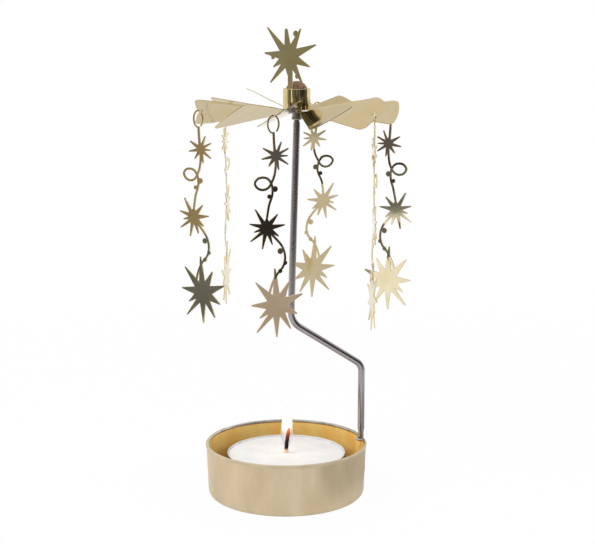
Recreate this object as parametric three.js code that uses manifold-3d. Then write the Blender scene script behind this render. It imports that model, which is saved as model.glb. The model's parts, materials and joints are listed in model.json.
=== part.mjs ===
import * as THREE from 'three';
import { mergeVertices } from 'three/addons/utils/BufferGeometryUtils.js';
import Module from 'manifold-3d';

// Candle carousel: a cup with a tealight, a bent wire mast, and a rotor of twelve
// pitched blades that turns on the mast's needle and carries six hanging pendants.
// Millimetres, +Z up, origin at the centre of the cup's flat base.

const wasm = await Module();
wasm.setup();

// Cup
const cupRimRadius = 25.95;
const cupHeight = 17.05;
const cupWall = 0.65;
const cupTaper = 0.45;
const cupCornerRadius = 2;
const rimBead = 1.3;

// Socket pressed into the cup's wall, and the mast's foot
const socketAngle = 11;
const mastFootReach = 24.75;
const footDiameter = 1.8;
const socketClearance = 0.3;
const socketSheet = 0.5;
const strapBottom = 6;
const strapTop = 11;
const socketFloor = 2.8;
const slitHeight = 0.4;

// Mast wire
const mastDiameter = 2.4;
const footTop = 20;
const footTaper = 0.7;
const shoulderEdge = 0.06;
const lowerBendHeight = 41.3;
const upperBendHeight = 56.4;
const mastLean = 1.85;
const lowerBendRadius = 3.6;
const upperBendRadius = 6;
const needleRadius = 0.85;
const needleTaper = 4.5;
const needleTipRadius = 0.12;
const needleNeck = 1.2;

// Rotor
const rotorAxisX = 3.4;
const rotorHeight = 123.1;
const rotorRadius = 31.65;
const rotorSheet = 0.4;
const bladeCount = 12;
const bladePitch = 29;
const firstBladeAngle = 20;
const slitWidth = 0.5;
const bladeCornerRadius = 1.9;
const bladeNeckWidth = 1.9;
const bladeShoulderRadius = 8;
const hubRimWidth = 0.8;
const holeRadius = 1.15;
const holeToEdge = 0.6;

// Thimble bearing and collar on the rotor's hub
const thimbleRadius = 3.1;
const thimbleShoulder = 5.8;
const thimbleHeight = 8.8;
const thimbleNeckRadius = 1.5;
const thimbleBoreRadius = 1.25;
const thimbleLipRadius = 1.65;
const thimbleLipHeight = 0.8;
const thimbleDrop = 2.65;
const thimbleCrown = 1.4;
const boreConeHeight = 1.5;
const needleGap = 0.25;
const collarRadius = 4.3;
const collarWall = 0.4;
const collarHeight = 6.5;

// Pendants
const charmCount = 6;
const charmSheet = 0.4;
const charmYaw = 38;
const charmDrop = 63.2;
const charmWidth = 17;
const hookWidth = 4;
const hookHeight = 5.6;
const hookStroke = 0.5;
const hookGapShare = 0.62;
const hookClearance = 0.15;
const stemWidth = 0.8;
const vineWidth = 0.75;
const smallStarReach = 4.8;
const middleStarReach = 6.8;
const largeStarReach = 11.3;
const smallBodyRadius = 1.55;
const middleBodyRadius = 2.15;
const largeBodyRadius = 3.6;
const spikeTipWidth = 0.45;
const loopWidth = 5.4;
const loopHeight = 4.3;
const largeBerryRadius = 0.9;
const smallBerryRadius = 0.68;

// Top star
const topStarRise = 16.8;
const topStarReach = 11.8;
const topBodyRadius = 3.7;
const topStarAngle = 236;
const topStemWidth = 1.7;
const topStarSheet = 0.3;
const topStemOffset = 0.6;
const topLargeBerryRadius = 0.95;
const topSmallBerryRadius = 0.7;

// Tealight
const tealightRadius = 19.6;
const tealightHeight = 12.7;
const tealightWall = 0.3;
const tealightCorner = 1;
const tealightRimRoll = 0.7;
const waxDip = 0.6;
const waxPoolShare = 0.45;
const waxBelowRim = 0.6;
const wickRadius = 0.65;
const wickRise = 7.3;
const wickLean = 0.85;
const sustainerRadius = 7;
const sustainerSheet = 0.3;
const sustainerNeckHeight = 2.4;
const sustainerNeckWall = 0.35;

// Clearance between pieces that touch, and overrun of a cutting tool
const seatGap = 0.3;
const cutOverrun = 1;

// Facets
const roundSides = 48;
const smallSides = 20;
const wireSides = 12;
const berrySides = 9;
const loopSides = 16;
const arcSteps = 4;

// Sizes worked out from the ones above
const cupFloor = cupWall;
const beadRadius = rimBead / 2;
const cupTopOuter = cupRimRadius - beadRadius + cupWall / 2;
const cupBaseOuter = cupTopOuter - cupTaper;
const footRadius = footDiameter / 2;
const mastRadius = mastDiameter / 2;
const socketBore = footRadius + socketClearance;
const socketOuter = socketBore + socketSheet;
const footBottom = socketFloor + seatGap;
const rotorTop = rotorHeight + rotorSheet / 2;
const hubSeat = rotorTop + seatGap;
const bladeRoot = collarRadius + seatGap;
const hubDiscRadius = bladeRoot + hubRimWidth;
const lipBottom = rotorHeight - thimbleDrop;
const seatHeight = hubSeat + thimbleHeight - thimbleCrown;
const needleTip = seatHeight - needleGap;
const tealightBase = cupFloor + seatGap;
const tealightFloor = tealightBase + tealightWall;
const tealightTop = tealightBase + tealightHeight;
const waxTop = tealightTop - waxBelowRim;
const waxRadius = tealightRadius - tealightWall - seatGap;
const sustainerBase = tealightFloor + seatGap;
const sustainerTop = sustainerBase + sustainerSheet;
const sustainerNeckTop = sustainerTop + sustainerNeckHeight;
const sustainerBore = wickRadius + seatGap;
const sustainerNeckRadius = sustainerBore + sustainerNeckWall;

const rad = THREE.MathUtils.degToRad;
const vec2 = (x, y) => new THREE.Vector2(x, y);
const vec3 = (x, y, z) => new THREE.Vector3(x, y, z);

// Closed solid of a geometry: shared corners merged, faces turned outwards.
function solid(geometry) {
  const bare = new THREE.BufferGeometry();
  bare.setAttribute('position', geometry.getAttribute('position'));
  if (geometry.index) bare.setIndex(geometry.index);
  const merged = mergeVertices(bare, 1e-4);
  const points = merged.getAttribute('position').array;
  const source = merged.index.array;
  const faces = [];
  let volume = 0;
  const a = new THREE.Vector3();
  const b = new THREE.Vector3();
  const c = new THREE.Vector3();
  for (let i = 0; i < source.length; i += 3) {
    const [p, q, r] = [source[i], source[i + 1], source[i + 2]];
    if (p === q || q === r || r === p) continue;
    faces.push(p, q, r);
    a.fromArray(points, 3 * p);
    b.fromArray(points, 3 * q);
    c.fromArray(points, 3 * r);
    volume += a.dot(b.cross(c));
  }
  if (volume < 0) faces.reverse();
  const mesh = new wasm.Mesh({
    numProp: 3,
    vertProperties: Float32Array.from(points),
    triVerts: Uint32Array.from(faces),
  });
  return new wasm.Manifold(mesh);
}

// Geometry of a joined or cut solid.
function geometryOf(body) {
  const mesh = body.getMesh();
  const geometry = new THREE.BufferGeometry();
  geometry.setAttribute('position', new THREE.BufferAttribute(mesh.vertProperties, 3));
  geometry.setIndex(new THREE.BufferAttribute(mesh.triVerts, 1));
  geometry.computeVertexNormals();
  return geometry;
}

function joined(bodies) {
  return bodies.reduce((sum, body) => sum.add(body));
}

// Revolved solid about +Z. The profile is a closed loop of [radius, height] points.
function turned(profile, sides) {
  const points = profile.map(([r, z]) => vec2(Math.max(r, 0), z));
  points.push(points[0].clone());
  return solid(new THREE.LatheGeometry(points, sides).rotateX(Math.PI / 2));
}

// Points of an arc in the (radius, height) plane, from one angle to another in degrees.
function arc(centreR, centreZ, radius, from, to, steps = arcSteps) {
  const points = [];
  for (let i = 0; i <= steps; i += 1) {
    const angle = rad(from + (to - from) * i / steps);
    points.push([centreR + radius * Math.cos(angle), centreZ + radius * Math.sin(angle)]);
  }
  return points;
}

function upright(radius, bottom, top, sides = smallSides) {
  const height = top - bottom;
  const geometry = new THREE.CylinderGeometry(radius, radius, height, sides);
  return geometry.rotateX(Math.PI / 2).translate(0, 0, bottom + height / 2);
}

// Box between two corners.
function block(low, high) {
  const size = high.clone().sub(low);
  const middle = high.clone().add(low).multiplyScalar(1 / 2);
  return new THREE.BoxGeometry(size.x, size.y, size.z).translate(middle.x, middle.y, middle.z);
}

// Flat plate of an outline in the upright XZ plane, centred on y = 0, seen from -Y.
function plate(outline, thickness, holes = []) {
  const shape = new THREE.Shape(outline);
  holes.forEach((hole) => shape.holes.push(new THREE.Path(hole)));
  const geometry = new THREE.ExtrudeGeometry(shape, { depth: thickness, bevelEnabled: false });
  return solid(geometry.translate(0, 0, -thickness / 2).rotateX(Math.PI / 2));
}

function oval(centre, radiusX, radiusY, sides = smallSides) {
  const points = [];
  for (let i = 0; i < sides; i += 1) {
    const angle = 2 * Math.PI * i / sides;
    points.push(vec2(centre.x + radiusX * Math.cos(angle), centre.y + radiusY * Math.sin(angle)));
  }
  return points;
}

// Strip of one width along a smooth curve through the points.
function strip(points, width, steps) {
  const curve = new THREE.SplineCurve(points);
  const left = [];
  const right = [];
  for (let i = 0; i <= steps; i += 1) {
    const point = curve.getPoint(i / steps);
    const along = curve.getTangent(i / steps);
    const side = vec2(-along.y, along.x).multiplyScalar(width / 2);
    left.push(point.clone().add(side));
    right.push(point.clone().sub(side));
  }
  return left.concat(right.reverse());
}

// Spiky star. Each tip is [angle in degrees, share of the reach]; the valleys lie halfway.
function burst(centre, bodyRadius, reach, tipShares) {
  const outline = [];
  tipShares.forEach(([angle, share], index) => {
    const before = tipShares[(index + tipShares.length - 1) % tipShares.length][0];
    const back = before < angle ? before : before - 360;
    const valley = rad((angle + back) / 2);
    const tip = rad(angle);
    const end = vec2(Math.cos(tip), Math.sin(tip)).multiplyScalar(share * reach).add(centre);
    const side = vec2(-Math.sin(tip), Math.cos(tip)).multiplyScalar(spikeTipWidth / 2);
    outline.push(vec2(Math.cos(valley), Math.sin(valley)).multiplyScalar(bodyRadius).add(centre));
    outline.push(end.clone().sub(side), end.clone().add(side));
  });
  return outline;
}

// Path that visits given stations in turn, one per step of an extrusion.
class StationPath extends THREE.Curve {
  constructor(stations) {
    super();
    this.stations = stations;
  }

  getPoint(t) {
    const place = t * (this.stations.length - 1);
    const index = Math.min(Math.floor(place), this.stations.length - 2);
    return this.stations[index].clone().lerp(this.stations[index + 1], place - index);
  }

  getPointAt(u) {
    return this.getPoint(u);
  }

  getTangentAt(u) {
    const last = this.stations.length - 1;
    const index = Math.round(u * last);
    const ahead = this.stations[Math.min(index + 1, last)].clone().sub(this.stations[index]);
    const behind = this.stations[index].clone().sub(this.stations[Math.max(index - 1, 0)]);
    return ahead.normalize().add(behind.normalize()).normalize();
  }
}

// Inner corner points replaced by arcs, each of its own bend radius.
function rounded(corners, radii, steps) {
  const stations = [corners[0].clone()];
  for (let i = 1; i < corners.length - 1; i += 1) {
    const into = corners[i].clone().sub(corners[i - 1]).normalize();
    const out = corners[i + 1].clone().sub(corners[i]).normalize();
    const turn = into.angleTo(out);
    const radius = radii[i - 1];
    const reach = radius * Math.tan(turn / 2);
    const start = corners[i].clone().addScaledVector(into, -reach);
    const inward = out.clone().sub(into).normalize();
    const centre = corners[i].clone().addScaledVector(inward, radius / Math.cos(turn / 2));
    const across = start.clone().sub(centre);
    const axis = into.clone().cross(out).normalize();
    for (let k = 0; k <= steps; k += 1) {
      stations.push(across.clone().applyAxisAngle(axis, turn * k / steps).add(centre));
    }
  }
  stations.push(corners[corners.length - 1].clone());
  return stations;
}

function wire(stations, radius, sides = wireSides) {
  const section = new THREE.Shape(oval(vec2(0, 0), radius, radius, sides));
  const path = new StationPath(stations);
  const options = { steps: stations.length - 1, bevelEnabled: false, extrudePath: path };
  return solid(new THREE.ExtrudeGeometry(section, options));
}

// Outer skin of the cup, without its rim bead.
function cupOutside() {
  const corner = arc(cupBaseOuter - cupCornerRadius, cupCornerRadius, cupCornerRadius, -90, 0);
  return [[0, 0], ...corner];
}

// Drawn cup with a hemmed rim, and the socket that holds the mast's foot.
function cup() {
  const innerCorner = cupCornerRadius - cupWall;
  const cornerR = cupBaseOuter - cupCornerRadius;
  const beadR = cupRimRadius - beadRadius;
  const beadZ = cupHeight - beadRadius;
  const curl = 50;
  const profile = [
    ...cupOutside(),
    ...arc(beadR, beadZ, beadRadius, -curl, 180 + curl, 2 * arcSteps),
    ...arc(cornerR, cupCornerRadius, innerCorner, 0, -90),
    [0, cupFloor],
  ];
  const shell = turned(profile, roundSides);
  const envelope = turned([
    ...cupOutside(),
    [cupTopOuter, cupHeight - seatGap],
    [0, cupHeight - seatGap],
  ], roundSides);

  const place = (geometry) => solid(geometry.translate(mastFootReach, 0, 0).rotateZ(rad(socketAngle)));
  const far = socketOuter + cutOverrun;
  const channel = place(upright(socketBore, socketFloor, cupHeight + cutOverrun));
  const flute = place(upright(socketOuter, cupFloor / 2, cupHeight - seatGap)).intersect(envelope);
  const strap = place(upright(socketOuter, strapBottom, strapTop));
  const strapHalf = place(block(vec3(0, -far, strapBottom), vec3(far, far, strapTop)));
  const mouths = [[socketFloor, strapBottom], [strapTop, cupHeight + cutOverrun]];
  const outerMouths = mouths.map(([low, high]) => (
    place(block(vec3(0, -socketBore, low), vec3(far, socketBore, high)))
  ));
  const innerWindow = place(block(
    vec3(-far, -far, strapBottom - slitHeight),
    vec3(0, far, strapTop + slitHeight),
  ));
  const window = innerWindow.intersect(
    place(upright(far, strapBottom - slitHeight, strapTop + slitHeight)),
  );
  let body = shell.add(flute).subtract(window);
  body = body.add(strap.intersect(strapHalf)).subtract(channel);
  outerMouths.forEach((mouth) => {
    body = body.subtract(mouth);
  });
  return body;
}

// Where the mast's foot stands, and its two bends.
function mastCorners() {
  const foot = vec2(Math.cos(rad(socketAngle)), Math.sin(rad(socketAngle))).multiplyScalar(mastFootReach);
  return {
    low: vec3(foot.x, foot.y, footTop),
    lowerBend: vec3(foot.x, foot.y, lowerBendHeight),
    upperBend: vec3(rotorAxisX - mastLean, 0, upperBendHeight),
    neck: vec3(rotorAxisX, 0, lipBottom - needleNeck),
  };
}

// One bent wire: thin foot, shoulder, two bends, and a ground needle under the rotor.
function mast() {
  const { low, lowerBend, upperBend, neck } = mastCorners();
  const bends = [lowerBendRadius, upperBendRadius];
  const run = wire(rounded([low, lowerBend, upperBend, neck], bends, arcSteps), mastRadius);
  const foot = turned([
    [0, footBottom],
    [footRadius, footBottom],
    [footRadius, footTop - footTaper],
    [mastRadius - shoulderEdge, footTop + shoulderEdge],
    [0, footTop + mastRadius],
  ], wireSides).translate([low.x, low.y, 0]);
  const needle = turned([
    [0, neck.z - mastRadius],
    [mastRadius - shoulderEdge, neck.z - shoulderEdge],
    [needleRadius, neck.z + needleNeck],
    [needleRadius, needleTip - needleTaper],
    [needleTipRadius, needleTip],
    [0, needleTip],
  ], wireSides).translate([rotorAxisX, 0, 0]);
  return joined([run, foot, needle]);
}

// One blade, lying along +X in its own plane and then pitched about that line.
function blade(withHole) {
  const half = Math.PI / bladeCount;
  const slit = slitWidth / 2;
  const halfWidth = (r) => r * Math.tan(half) - slit;
  const shoulder = halfWidth(bladeShoulderRadius);
  const edge = half - slit / rotorRadius;
  const inset = bladeCornerRadius / rotorRadius;
  const cornerTurn = edge - inset;
  const sideStart = rotorRadius - bladeCornerRadius;
  const outline = [vec2(bladeRoot, -bladeNeckWidth / 2), vec2(hubDiscRadius, -bladeNeckWidth / 2)];
  outline.push(vec2(bladeShoulderRadius, -shoulder));
  outline.push(vec2(sideStart * Math.cos(edge), -sideStart * Math.sin(edge)));
  const rim = [];
  const rimSteps = 2 * arcSteps;
  for (let i = 0; i <= rimSteps; i += 1) {
    const angle = cornerTurn * (2 * i / rimSteps - 1);
    rim.push(vec2(rotorRadius * Math.cos(angle), rotorRadius * Math.sin(angle)));
  }
  const softened = rotorRadius - bladeCornerRadius * (1 - Math.SQRT1_2);
  const softAngle = edge - inset * (1 - Math.SQRT1_2);
  outline.push(vec2(softened * Math.cos(softAngle), -softened * Math.sin(softAngle)));
  outline.push(...rim);
  outline.push(vec2(softened * Math.cos(softAngle), softened * Math.sin(softAngle)));
  outline.push(vec2(sideStart * Math.cos(edge), sideStart * Math.sin(edge)));
  outline.push(vec2(bladeShoulderRadius, shoulder));
  outline.push(vec2(hubDiscRadius, bladeNeckWidth / 2), vec2(bladeRoot, bladeNeckWidth / 2));
  const shape = new THREE.Shape(outline);
  if (withHole) {
    shape.holes.push(new THREE.Path(oval(vec2(holeReach(), 0), holeRadius, holeRadius, wireSides)));
  }
  const geometry = new THREE.ExtrudeGeometry(shape, { depth: rotorSheet, bevelEnabled: false });
  return geometry.translate(0, 0, -rotorSheet / 2).rotateX(rad(bladePitch));
}

function holeReach() {
  return rotorRadius - holeToEdge - holeRadius;
}

// Sheet rotor: a hub disc and twelve blades, every second one with a hole near its tip.
function rotorBlades() {
  const bladeStep = 360 / bladeCount;
  const parts = [solid(upright(hubDiscRadius, -rotorSheet / 2, rotorSheet / 2, 2 * bladeCount))];
  for (let i = 0; i < bladeCount; i += 1) {
    const turn = rad(firstBladeAngle + i * bladeStep);
    parts.push(solid(blade(i % 2 === 0).rotateZ(turn)));
  }
  const bore = solid(upright(thimbleNeckRadius + seatGap, -cutOverrun - rotorSheet, cutOverrun + rotorSheet));
  return joined(parts).subtract(bore).translate([rotorAxisX, 0, rotorHeight]);
}

// Domed cap with a conical seat inside for the needle, and a lip below the rotor.
function thimble() {
  const domeBase = hubSeat + thimbleShoulder;
  const domeRise = thimbleHeight - thimbleShoulder;
  const dome = arc(0, 0, 1, 0, 90, arcSteps + 1).map(([r, z]) => (
    [r * thimbleRadius, domeBase + z * domeRise]
  ));
  const profile = [
    [thimbleBoreRadius, lipBottom],
    [thimbleLipRadius, lipBottom],
    [thimbleLipRadius, lipBottom + thimbleLipHeight],
    [thimbleNeckRadius, lipBottom + thimbleLipHeight],
    [thimbleNeckRadius, hubSeat],
    [thimbleRadius, hubSeat],
    ...dome,
    [0, seatHeight],
    [thimbleBoreRadius, seatHeight - boreConeHeight],
  ];
  return turned(profile, smallSides).translate([rotorAxisX, 0, 0]);
}

function collar() {
  const top = hubSeat + collarHeight;
  const inner = collarRadius - collarWall;
  const soft = collarWall / 3;
  const profile = [
    [inner, hubSeat],
    [collarRadius, hubSeat],
    [collarRadius, top - soft],
    [collarRadius - soft, top],
    [inner + soft, top],
    [inner, top - soft],
  ];
  return turned(profile, 2 * smallSides).translate([rotorAxisX, 0, 0]);
}

// Tips of the four stars, each as an angle in degrees and a share of that star's reach.
const smallTipShares = [
  [-169, 0.97], [-127, 0.8], [-77, 0.9], [-33, 1], [-1, 0.8], [27, 0.95], [67, 0.93], [100, 0.6], [151, 1],
];
const middleTipShares = [
  [-166, 0.61], [-144, 0.93], [-102, 0.93], [-69, 0.79], [-33, 0.7], [7, 0.88], [48, 0.79], [90, 0.45],
  [123, 1], [165, 0.83],
];
const largeTipShares = [
  [-148, 0.58], [-129, 0.89], [-89, 0.86], [-58, 0.78], [-24, 0.65], [20, 0.78], [62, 0.7], [98, 1],
  [134, 0.91], [176, 0.74],
];
const topTipShares = [
  [-150, 0.56], [-130, 0.9], [-88, 0.6], [-58, 0.83], [-21, 0.71], [20, 0.91], [62, 0.81], [96, 0.72],
  [132, 1], [174, 0.77],
];

// Berries on the top star, as shares of its reach.
const topBerryShares = [[0.225, 0.585], [-0.49, -0.025], [0.262, -0.508]];

// Places on a pendant below its hook, as shares of the pendant's width and drop.
const smallStarShare = [0.053, -0.14];
const middleStarShare = [-0.112, -0.483];
const largeStarShare = [0.1, -0.847];
const stemShares = [[0.006, -0.038], [0.024, -0.105]];
const upperVineShares = [
  [0.053, -0.153], [0.03, -0.212], [-0.03, -0.267], [-0.015, -0.323], [-0.07, -0.37], [-0.12, -0.461],
];
const loopShare = [-0.176, -0.264];
const lowerVineShares = [
  [-0.09, -0.492], [0.015, -0.52], [0.176, -0.566], [0.238, -0.613], [0.206, -0.659], [0.088, -0.694],
  [0.015, -0.732], [-0.03, -0.8], [0.02, -0.84],
];
const largeBerryShares = [[0.042, -0.291], [0.148, -0.589]];
const smallBerryShares = [[-0.065, -0.327], [0.241, -0.645], [0.147, -0.681]];

// Flat pendant of one sheet: hook, small star, looped vine, star, vine and large star.
function pendant() {
  const at = ([x, z]) => vec2(x * charmWidth, z * charmDrop);
  const flat = (outline, holes) => plate(outline, charmSheet, holes);
  const disc = (share, radius) => flat(oval(at(share), radius, radius, berrySides));
  const hook = [];
  const inside = [];
  const hookSteps = 3 * arcSteps;
  const gapAngle = 90 * hookGapShare;
  for (let i = 0; i <= hookSteps; i += 1) {
    const angle = rad(-gapAngle + (270 + gapAngle) * i / hookSteps);
    const [c, s] = [Math.cos(angle), Math.sin(angle)];
    hook.push(vec2(c * hookWidth / 2, s * hookHeight / 2));
    inside.push(vec2(c * (hookWidth / 2 - hookStroke), s * (hookHeight / 2 - hookStroke)));
  }
  const loopHole = oval(at(loopShare), loopWidth / 2 - vineWidth, loopHeight / 2 - vineWidth, loopSides);
  const parts = [
    flat(hook.concat(inside.reverse())),
    flat(strip(stemShares.map(at), stemWidth, 2)),
    flat(burst(at(smallStarShare), smallBodyRadius, smallStarReach, smallTipShares)),
    flat(strip(upperVineShares.map(at), vineWidth, 3 * arcSteps)),
    flat(oval(at(loopShare), loopWidth / 2, loopHeight / 2, loopSides), [loopHole.reverse()]),
    flat(burst(at(middleStarShare), middleBodyRadius, middleStarReach, middleTipShares)),
    flat(strip(lowerVineShares.map(at), vineWidth, 4 * arcSteps)),
    flat(burst(at(largeStarShare), largeBodyRadius, largeStarReach, largeTipShares)),
    ...largeBerryShares.map((share) => disc(share, largeBerryRadius)),
    ...smallBerryShares.map((share) => disc(share, smallBerryRadius)),
  ];
  return joined(parts);
}

// Middle of mass of a closed mesh, from the tetrahedra under its faces.
function middleOf(geometry) {
  const points = geometry.getAttribute('position');
  const faces = geometry.index.array;
  const sum = new THREE.Vector3();
  let total = 0;
  for (let i = 0; i < faces.length; i += 3) {
    const [a, b, c] = [0, 1, 2].map((k) => new THREE.Vector3().fromBufferAttribute(points, faces[i + k]));
    const volume = a.dot(b.clone().cross(c));
    total += volume;
    sum.addScaledVector(a.add(b).add(c), volume / 4);
  }
  return sum.divideScalar(total);
}

// Height of the hook's inner top above the pivot, so that its arc clears the sloping strip.
function hookRoom(planeTurn) {
  const along = Math.abs(Math.cos(planeTurn));
  const across = Math.abs(Math.sin(planeTurn));
  const halfStrip = (holeToEdge / 2 + hookClearance + across * charmSheet / 2) / along;
  const halfWidth = hookWidth / 2 - hookStroke;
  const halfHeight = hookHeight / 2 - hookStroke;
  const share = Math.min(halfStrip / halfWidth, 1);
  const arcDrop = halfHeight * (1 - Math.sqrt(1 - share * share));
  const rise = halfStrip * across * Math.tan(rad(bladePitch));
  return rise + rotorSheet / 2 / Math.cos(rad(bladePitch)) + arcDrop + hookClearance;
}

// Each hook passes through a blade's hole and hangs over the strip of sheet outside it.
// The pivot is the middle of that strip, and the pendant's own weight hangs below it.
function hangPendant(geometry, index) {
  const bladeAngle = rad(firstBladeAngle + index * 360 / charmCount);
  const planeTurn = rad(charmYaw) + Math.PI / 2;
  const legReach = (hookWidth - hookStroke) / 2;
  const inward = -legReach * Math.cos(planeTurn);
  const aside = -legReach * Math.sin(planeTurn);
  const reach = holeReach() + inward + hookStroke / 2;
  const hookAngle = Math.atan2(aside, reach);
  const pivotRise = hookHeight / 2 - hookStroke - hookRoom(planeTurn);
  const pivotHeight = rotorHeight + aside * Math.tan(rad(bladePitch));
  const turn = bladeAngle + hookAngle + rad(charmYaw) + Math.PI / 2;
  const middle = middleOf(geometry);
  const hang = Math.atan2(middle.x, pivotRise - middle.z);
  const mesh = geometry.clone();
  mesh.translate(0, 0, -pivotRise).rotateY(hang).rotateZ(turn);
  const out = Math.hypot(reach, aside);
  const angle = bladeAngle + hookAngle;
  const pivot = vec3(
    rotorAxisX + out * Math.cos(angle),
    out * Math.sin(angle),
    pivotHeight,
  );
  return { mesh, pivot };
}

// Flat star above the hub. Its stem goes down between the thimble and the collar.
function topStar() {
  const centre = rotorHeight + topStarRise;
  const stemFoot = hubSeat - centre;
  const star = plate(burst(vec2(0, 0), topBodyRadius, topStarReach, topTipShares), topStarSheet);
  const berries = topBerryShares.map(([x, z], index) => {
    const radius = index === 0 ? topLargeBerryRadius : topSmallBerryRadius;
    return plate(oval(vec2(x * topStarReach, z * topStarReach), radius, radius, berrySides), topStarSheet);
  });
  const half = topStemWidth / 2;
  const stem = plate([
    vec2(topStemOffset - half, stemFoot),
    vec2(topStemOffset + half, stemFoot),
    vec2(topStemOffset + half, 0),
    vec2(topStemOffset - half, 0),
  ], topStarSheet);
  const seat = (thimbleRadius + collarRadius - collarWall) / 2;
  return joined([star, stem, ...berries])
    .translate([-topStemOffset, -seat, centre])
    .rotate([0, 0, topStarAngle - 270])
    .translate([rotorAxisX, 0, 0]);
}

function tealightShell() {
  const corner = tealightCorner;
  const inner = tealightRadius - tealightWall;
  const roll = tealightRimRoll / 2;
  const profile = [
    [0, tealightBase],
    ...arc(tealightRadius - corner, tealightBase + corner, corner, -90, 0),
    [tealightRadius, tealightTop - tealightRimRoll],
    ...arc(tealightRadius, tealightTop - roll, roll, -90, 90),
    [inner, tealightTop],
    ...arc(tealightRadius - corner, tealightBase + corner, corner - tealightWall, 0, -90),
    [0, tealightFloor],
  ];
  return turned(profile, roundSides);
}

// Wax with a shallow melted pool, and a recess below for the sustainer.
function wax() {
  const clear = seatGap;
  const bottom = tealightFloor + clear;
  const pool = waxRadius * waxPoolShare;
  const neckTop = sustainerNeckTop + clear;
  const profile = [
    [sustainerRadius + clear, bottom],
    [waxRadius - tealightCorner, bottom],
    [waxRadius, bottom + tealightCorner],
    [waxRadius, waxTop],
    [pool, waxTop],
    [pool / 2, waxTop - waxDip],
    [wickRadius + clear, waxTop - waxDip],
    [wickRadius + clear, neckTop],
    [sustainerNeckRadius + clear, neckTop],
    [sustainerNeckRadius + clear, sustainerTop + clear],
    [sustainerRadius + clear, sustainerTop + clear],
  ];
  return turned(profile, roundSides);
}

function wick() {
  const start = vec3(0, 0, sustainerBase);
  const bendLow = vec3(0, 0, waxTop);
  const top = waxTop + wickRise;
  const bend = new THREE.CubicBezierCurve3(
    bendLow,
    vec3(0, 0, waxTop + wickRise / 3),
    vec3(wickLean / 2, 0, top - wickRise / 4),
    vec3(wickLean, 0, top),
  );
  return wire([start, ...bend.getPoints(2 * arcSteps)], wickRadius, wireSides);
}

function sustainer() {
  const profile = [
    [sustainerBore, sustainerBase],
    [sustainerRadius, sustainerBase],
    [sustainerRadius, sustainerTop],
    [sustainerNeckRadius, sustainerTop],
    [sustainerNeckRadius, sustainerNeckTop],
    [sustainerBore, sustainerNeckTop],
  ];
  return turned(profile, 2 * smallSides);
}

const finishes = {
  champagneBrass: { color: 0xc9b48a, roughness: 0.32, metalness: 1 },
  agedBrass: { color: 0xa89468, roughness: 0.36, metalness: 1 },
  polishedBrass: { color: 0xd8a83c, roughness: 0.16, metalness: 1 },
  steel: { color: 0x8d8d90, roughness: 0.38, metalness: 1 },
  aluminium: { color: 0xb9bec6, roughness: 0.3, metalness: 1 },
  whiteWax: { color: 0xf3eee2, roughness: 0.5, metalness: 0 },
  charredWick: { color: 0x1c1512, roughness: 0.95, metalness: 0 },
};

const carousel = new THREE.Group();

function place(name, geometry, finish, position = vec3(0, 0, 0)) {
  const mesh = new THREE.Mesh(geometry, new THREE.MeshStandardMaterial(finishes[finish]));
  mesh.name = name;
  mesh.position.copy(position);
  carousel.add(mesh);
}

place('candle_cup', geometryOf(cup()), 'champagneBrass');
place('mast', geometryOf(mast()), 'steel');
place('tealight_shell', geometryOf(tealightShell()), 'aluminium');
place('wax', geometryOf(wax()), 'whiteWax');
place('wick', geometryOf(wick()), 'charredWick');
place('wick_sustainer', geometryOf(sustainer()), 'aluminium');
place('rotor_blades', geometryOf(rotorBlades()), 'agedBrass');
place('bearing_thimble', geometryOf(thimble()), 'polishedBrass');
place('hub_collar', geometryOf(collar()), 'polishedBrass');
place('top_star', geometryOf(topStar()), 'agedBrass');

const pendantGeometry = geometryOf(pendant());
for (let i = 0; i < charmCount; i += 1) {
  const { mesh, pivot } = hangPendant(pendantGeometry, i);
  place(`charm_${i + 1}`, mesh, 'agedBrass', pivot);
}

export default carousel;
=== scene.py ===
import json
import math

import bmesh
import bpy
import numpy as np
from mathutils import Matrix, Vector


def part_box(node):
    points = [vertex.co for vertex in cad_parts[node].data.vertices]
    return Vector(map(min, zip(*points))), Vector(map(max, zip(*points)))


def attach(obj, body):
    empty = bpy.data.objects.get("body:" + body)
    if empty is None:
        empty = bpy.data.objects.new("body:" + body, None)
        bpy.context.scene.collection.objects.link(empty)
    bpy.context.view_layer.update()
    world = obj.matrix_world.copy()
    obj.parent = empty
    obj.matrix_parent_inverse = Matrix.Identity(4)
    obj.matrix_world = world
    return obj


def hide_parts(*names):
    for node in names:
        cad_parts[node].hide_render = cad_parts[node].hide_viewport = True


# Candle carousel: finished surfaces for the cup, candle, mast, rotor and pendants of the CAD frame.
# Sizes in the settings are millimetres; meshes are written in metres.

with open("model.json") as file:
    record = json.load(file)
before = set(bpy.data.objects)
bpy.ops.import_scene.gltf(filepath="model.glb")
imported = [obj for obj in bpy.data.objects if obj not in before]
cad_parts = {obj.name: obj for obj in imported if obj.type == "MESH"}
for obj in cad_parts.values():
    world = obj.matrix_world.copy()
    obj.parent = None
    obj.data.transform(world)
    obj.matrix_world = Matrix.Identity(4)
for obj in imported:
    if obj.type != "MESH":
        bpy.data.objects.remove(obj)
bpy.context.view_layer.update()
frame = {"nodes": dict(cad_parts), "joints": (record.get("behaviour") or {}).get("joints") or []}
mm = 0.001
weldGap = 2e-7
upwards = np.array((0.0, 0.0, 1.0))
jointAt = {joint["name"]: joint for joint in frame["joints"]}
axisX, axisY, hubSeat = [value / mm for value in jointAt["rotor_spin"]["pos_m"]]
rotorAxis = np.array((axisX, axisY, 0.0))
print("frame loaded:", len(frame["nodes"]), "nodes")


def boxOf(nodeName):
    # Lowest and highest corner of a CAD node, in millimetres.
    low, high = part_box(nodeName)
    return np.array(low) / mm, np.array(high) / mm


cupLow, cupHigh = boxOf("candle_cup")
waxLow, waxHigh = boxOf("wax")
thimbleLow, thimbleHigh = boxOf("bearing_thimble")


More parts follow.
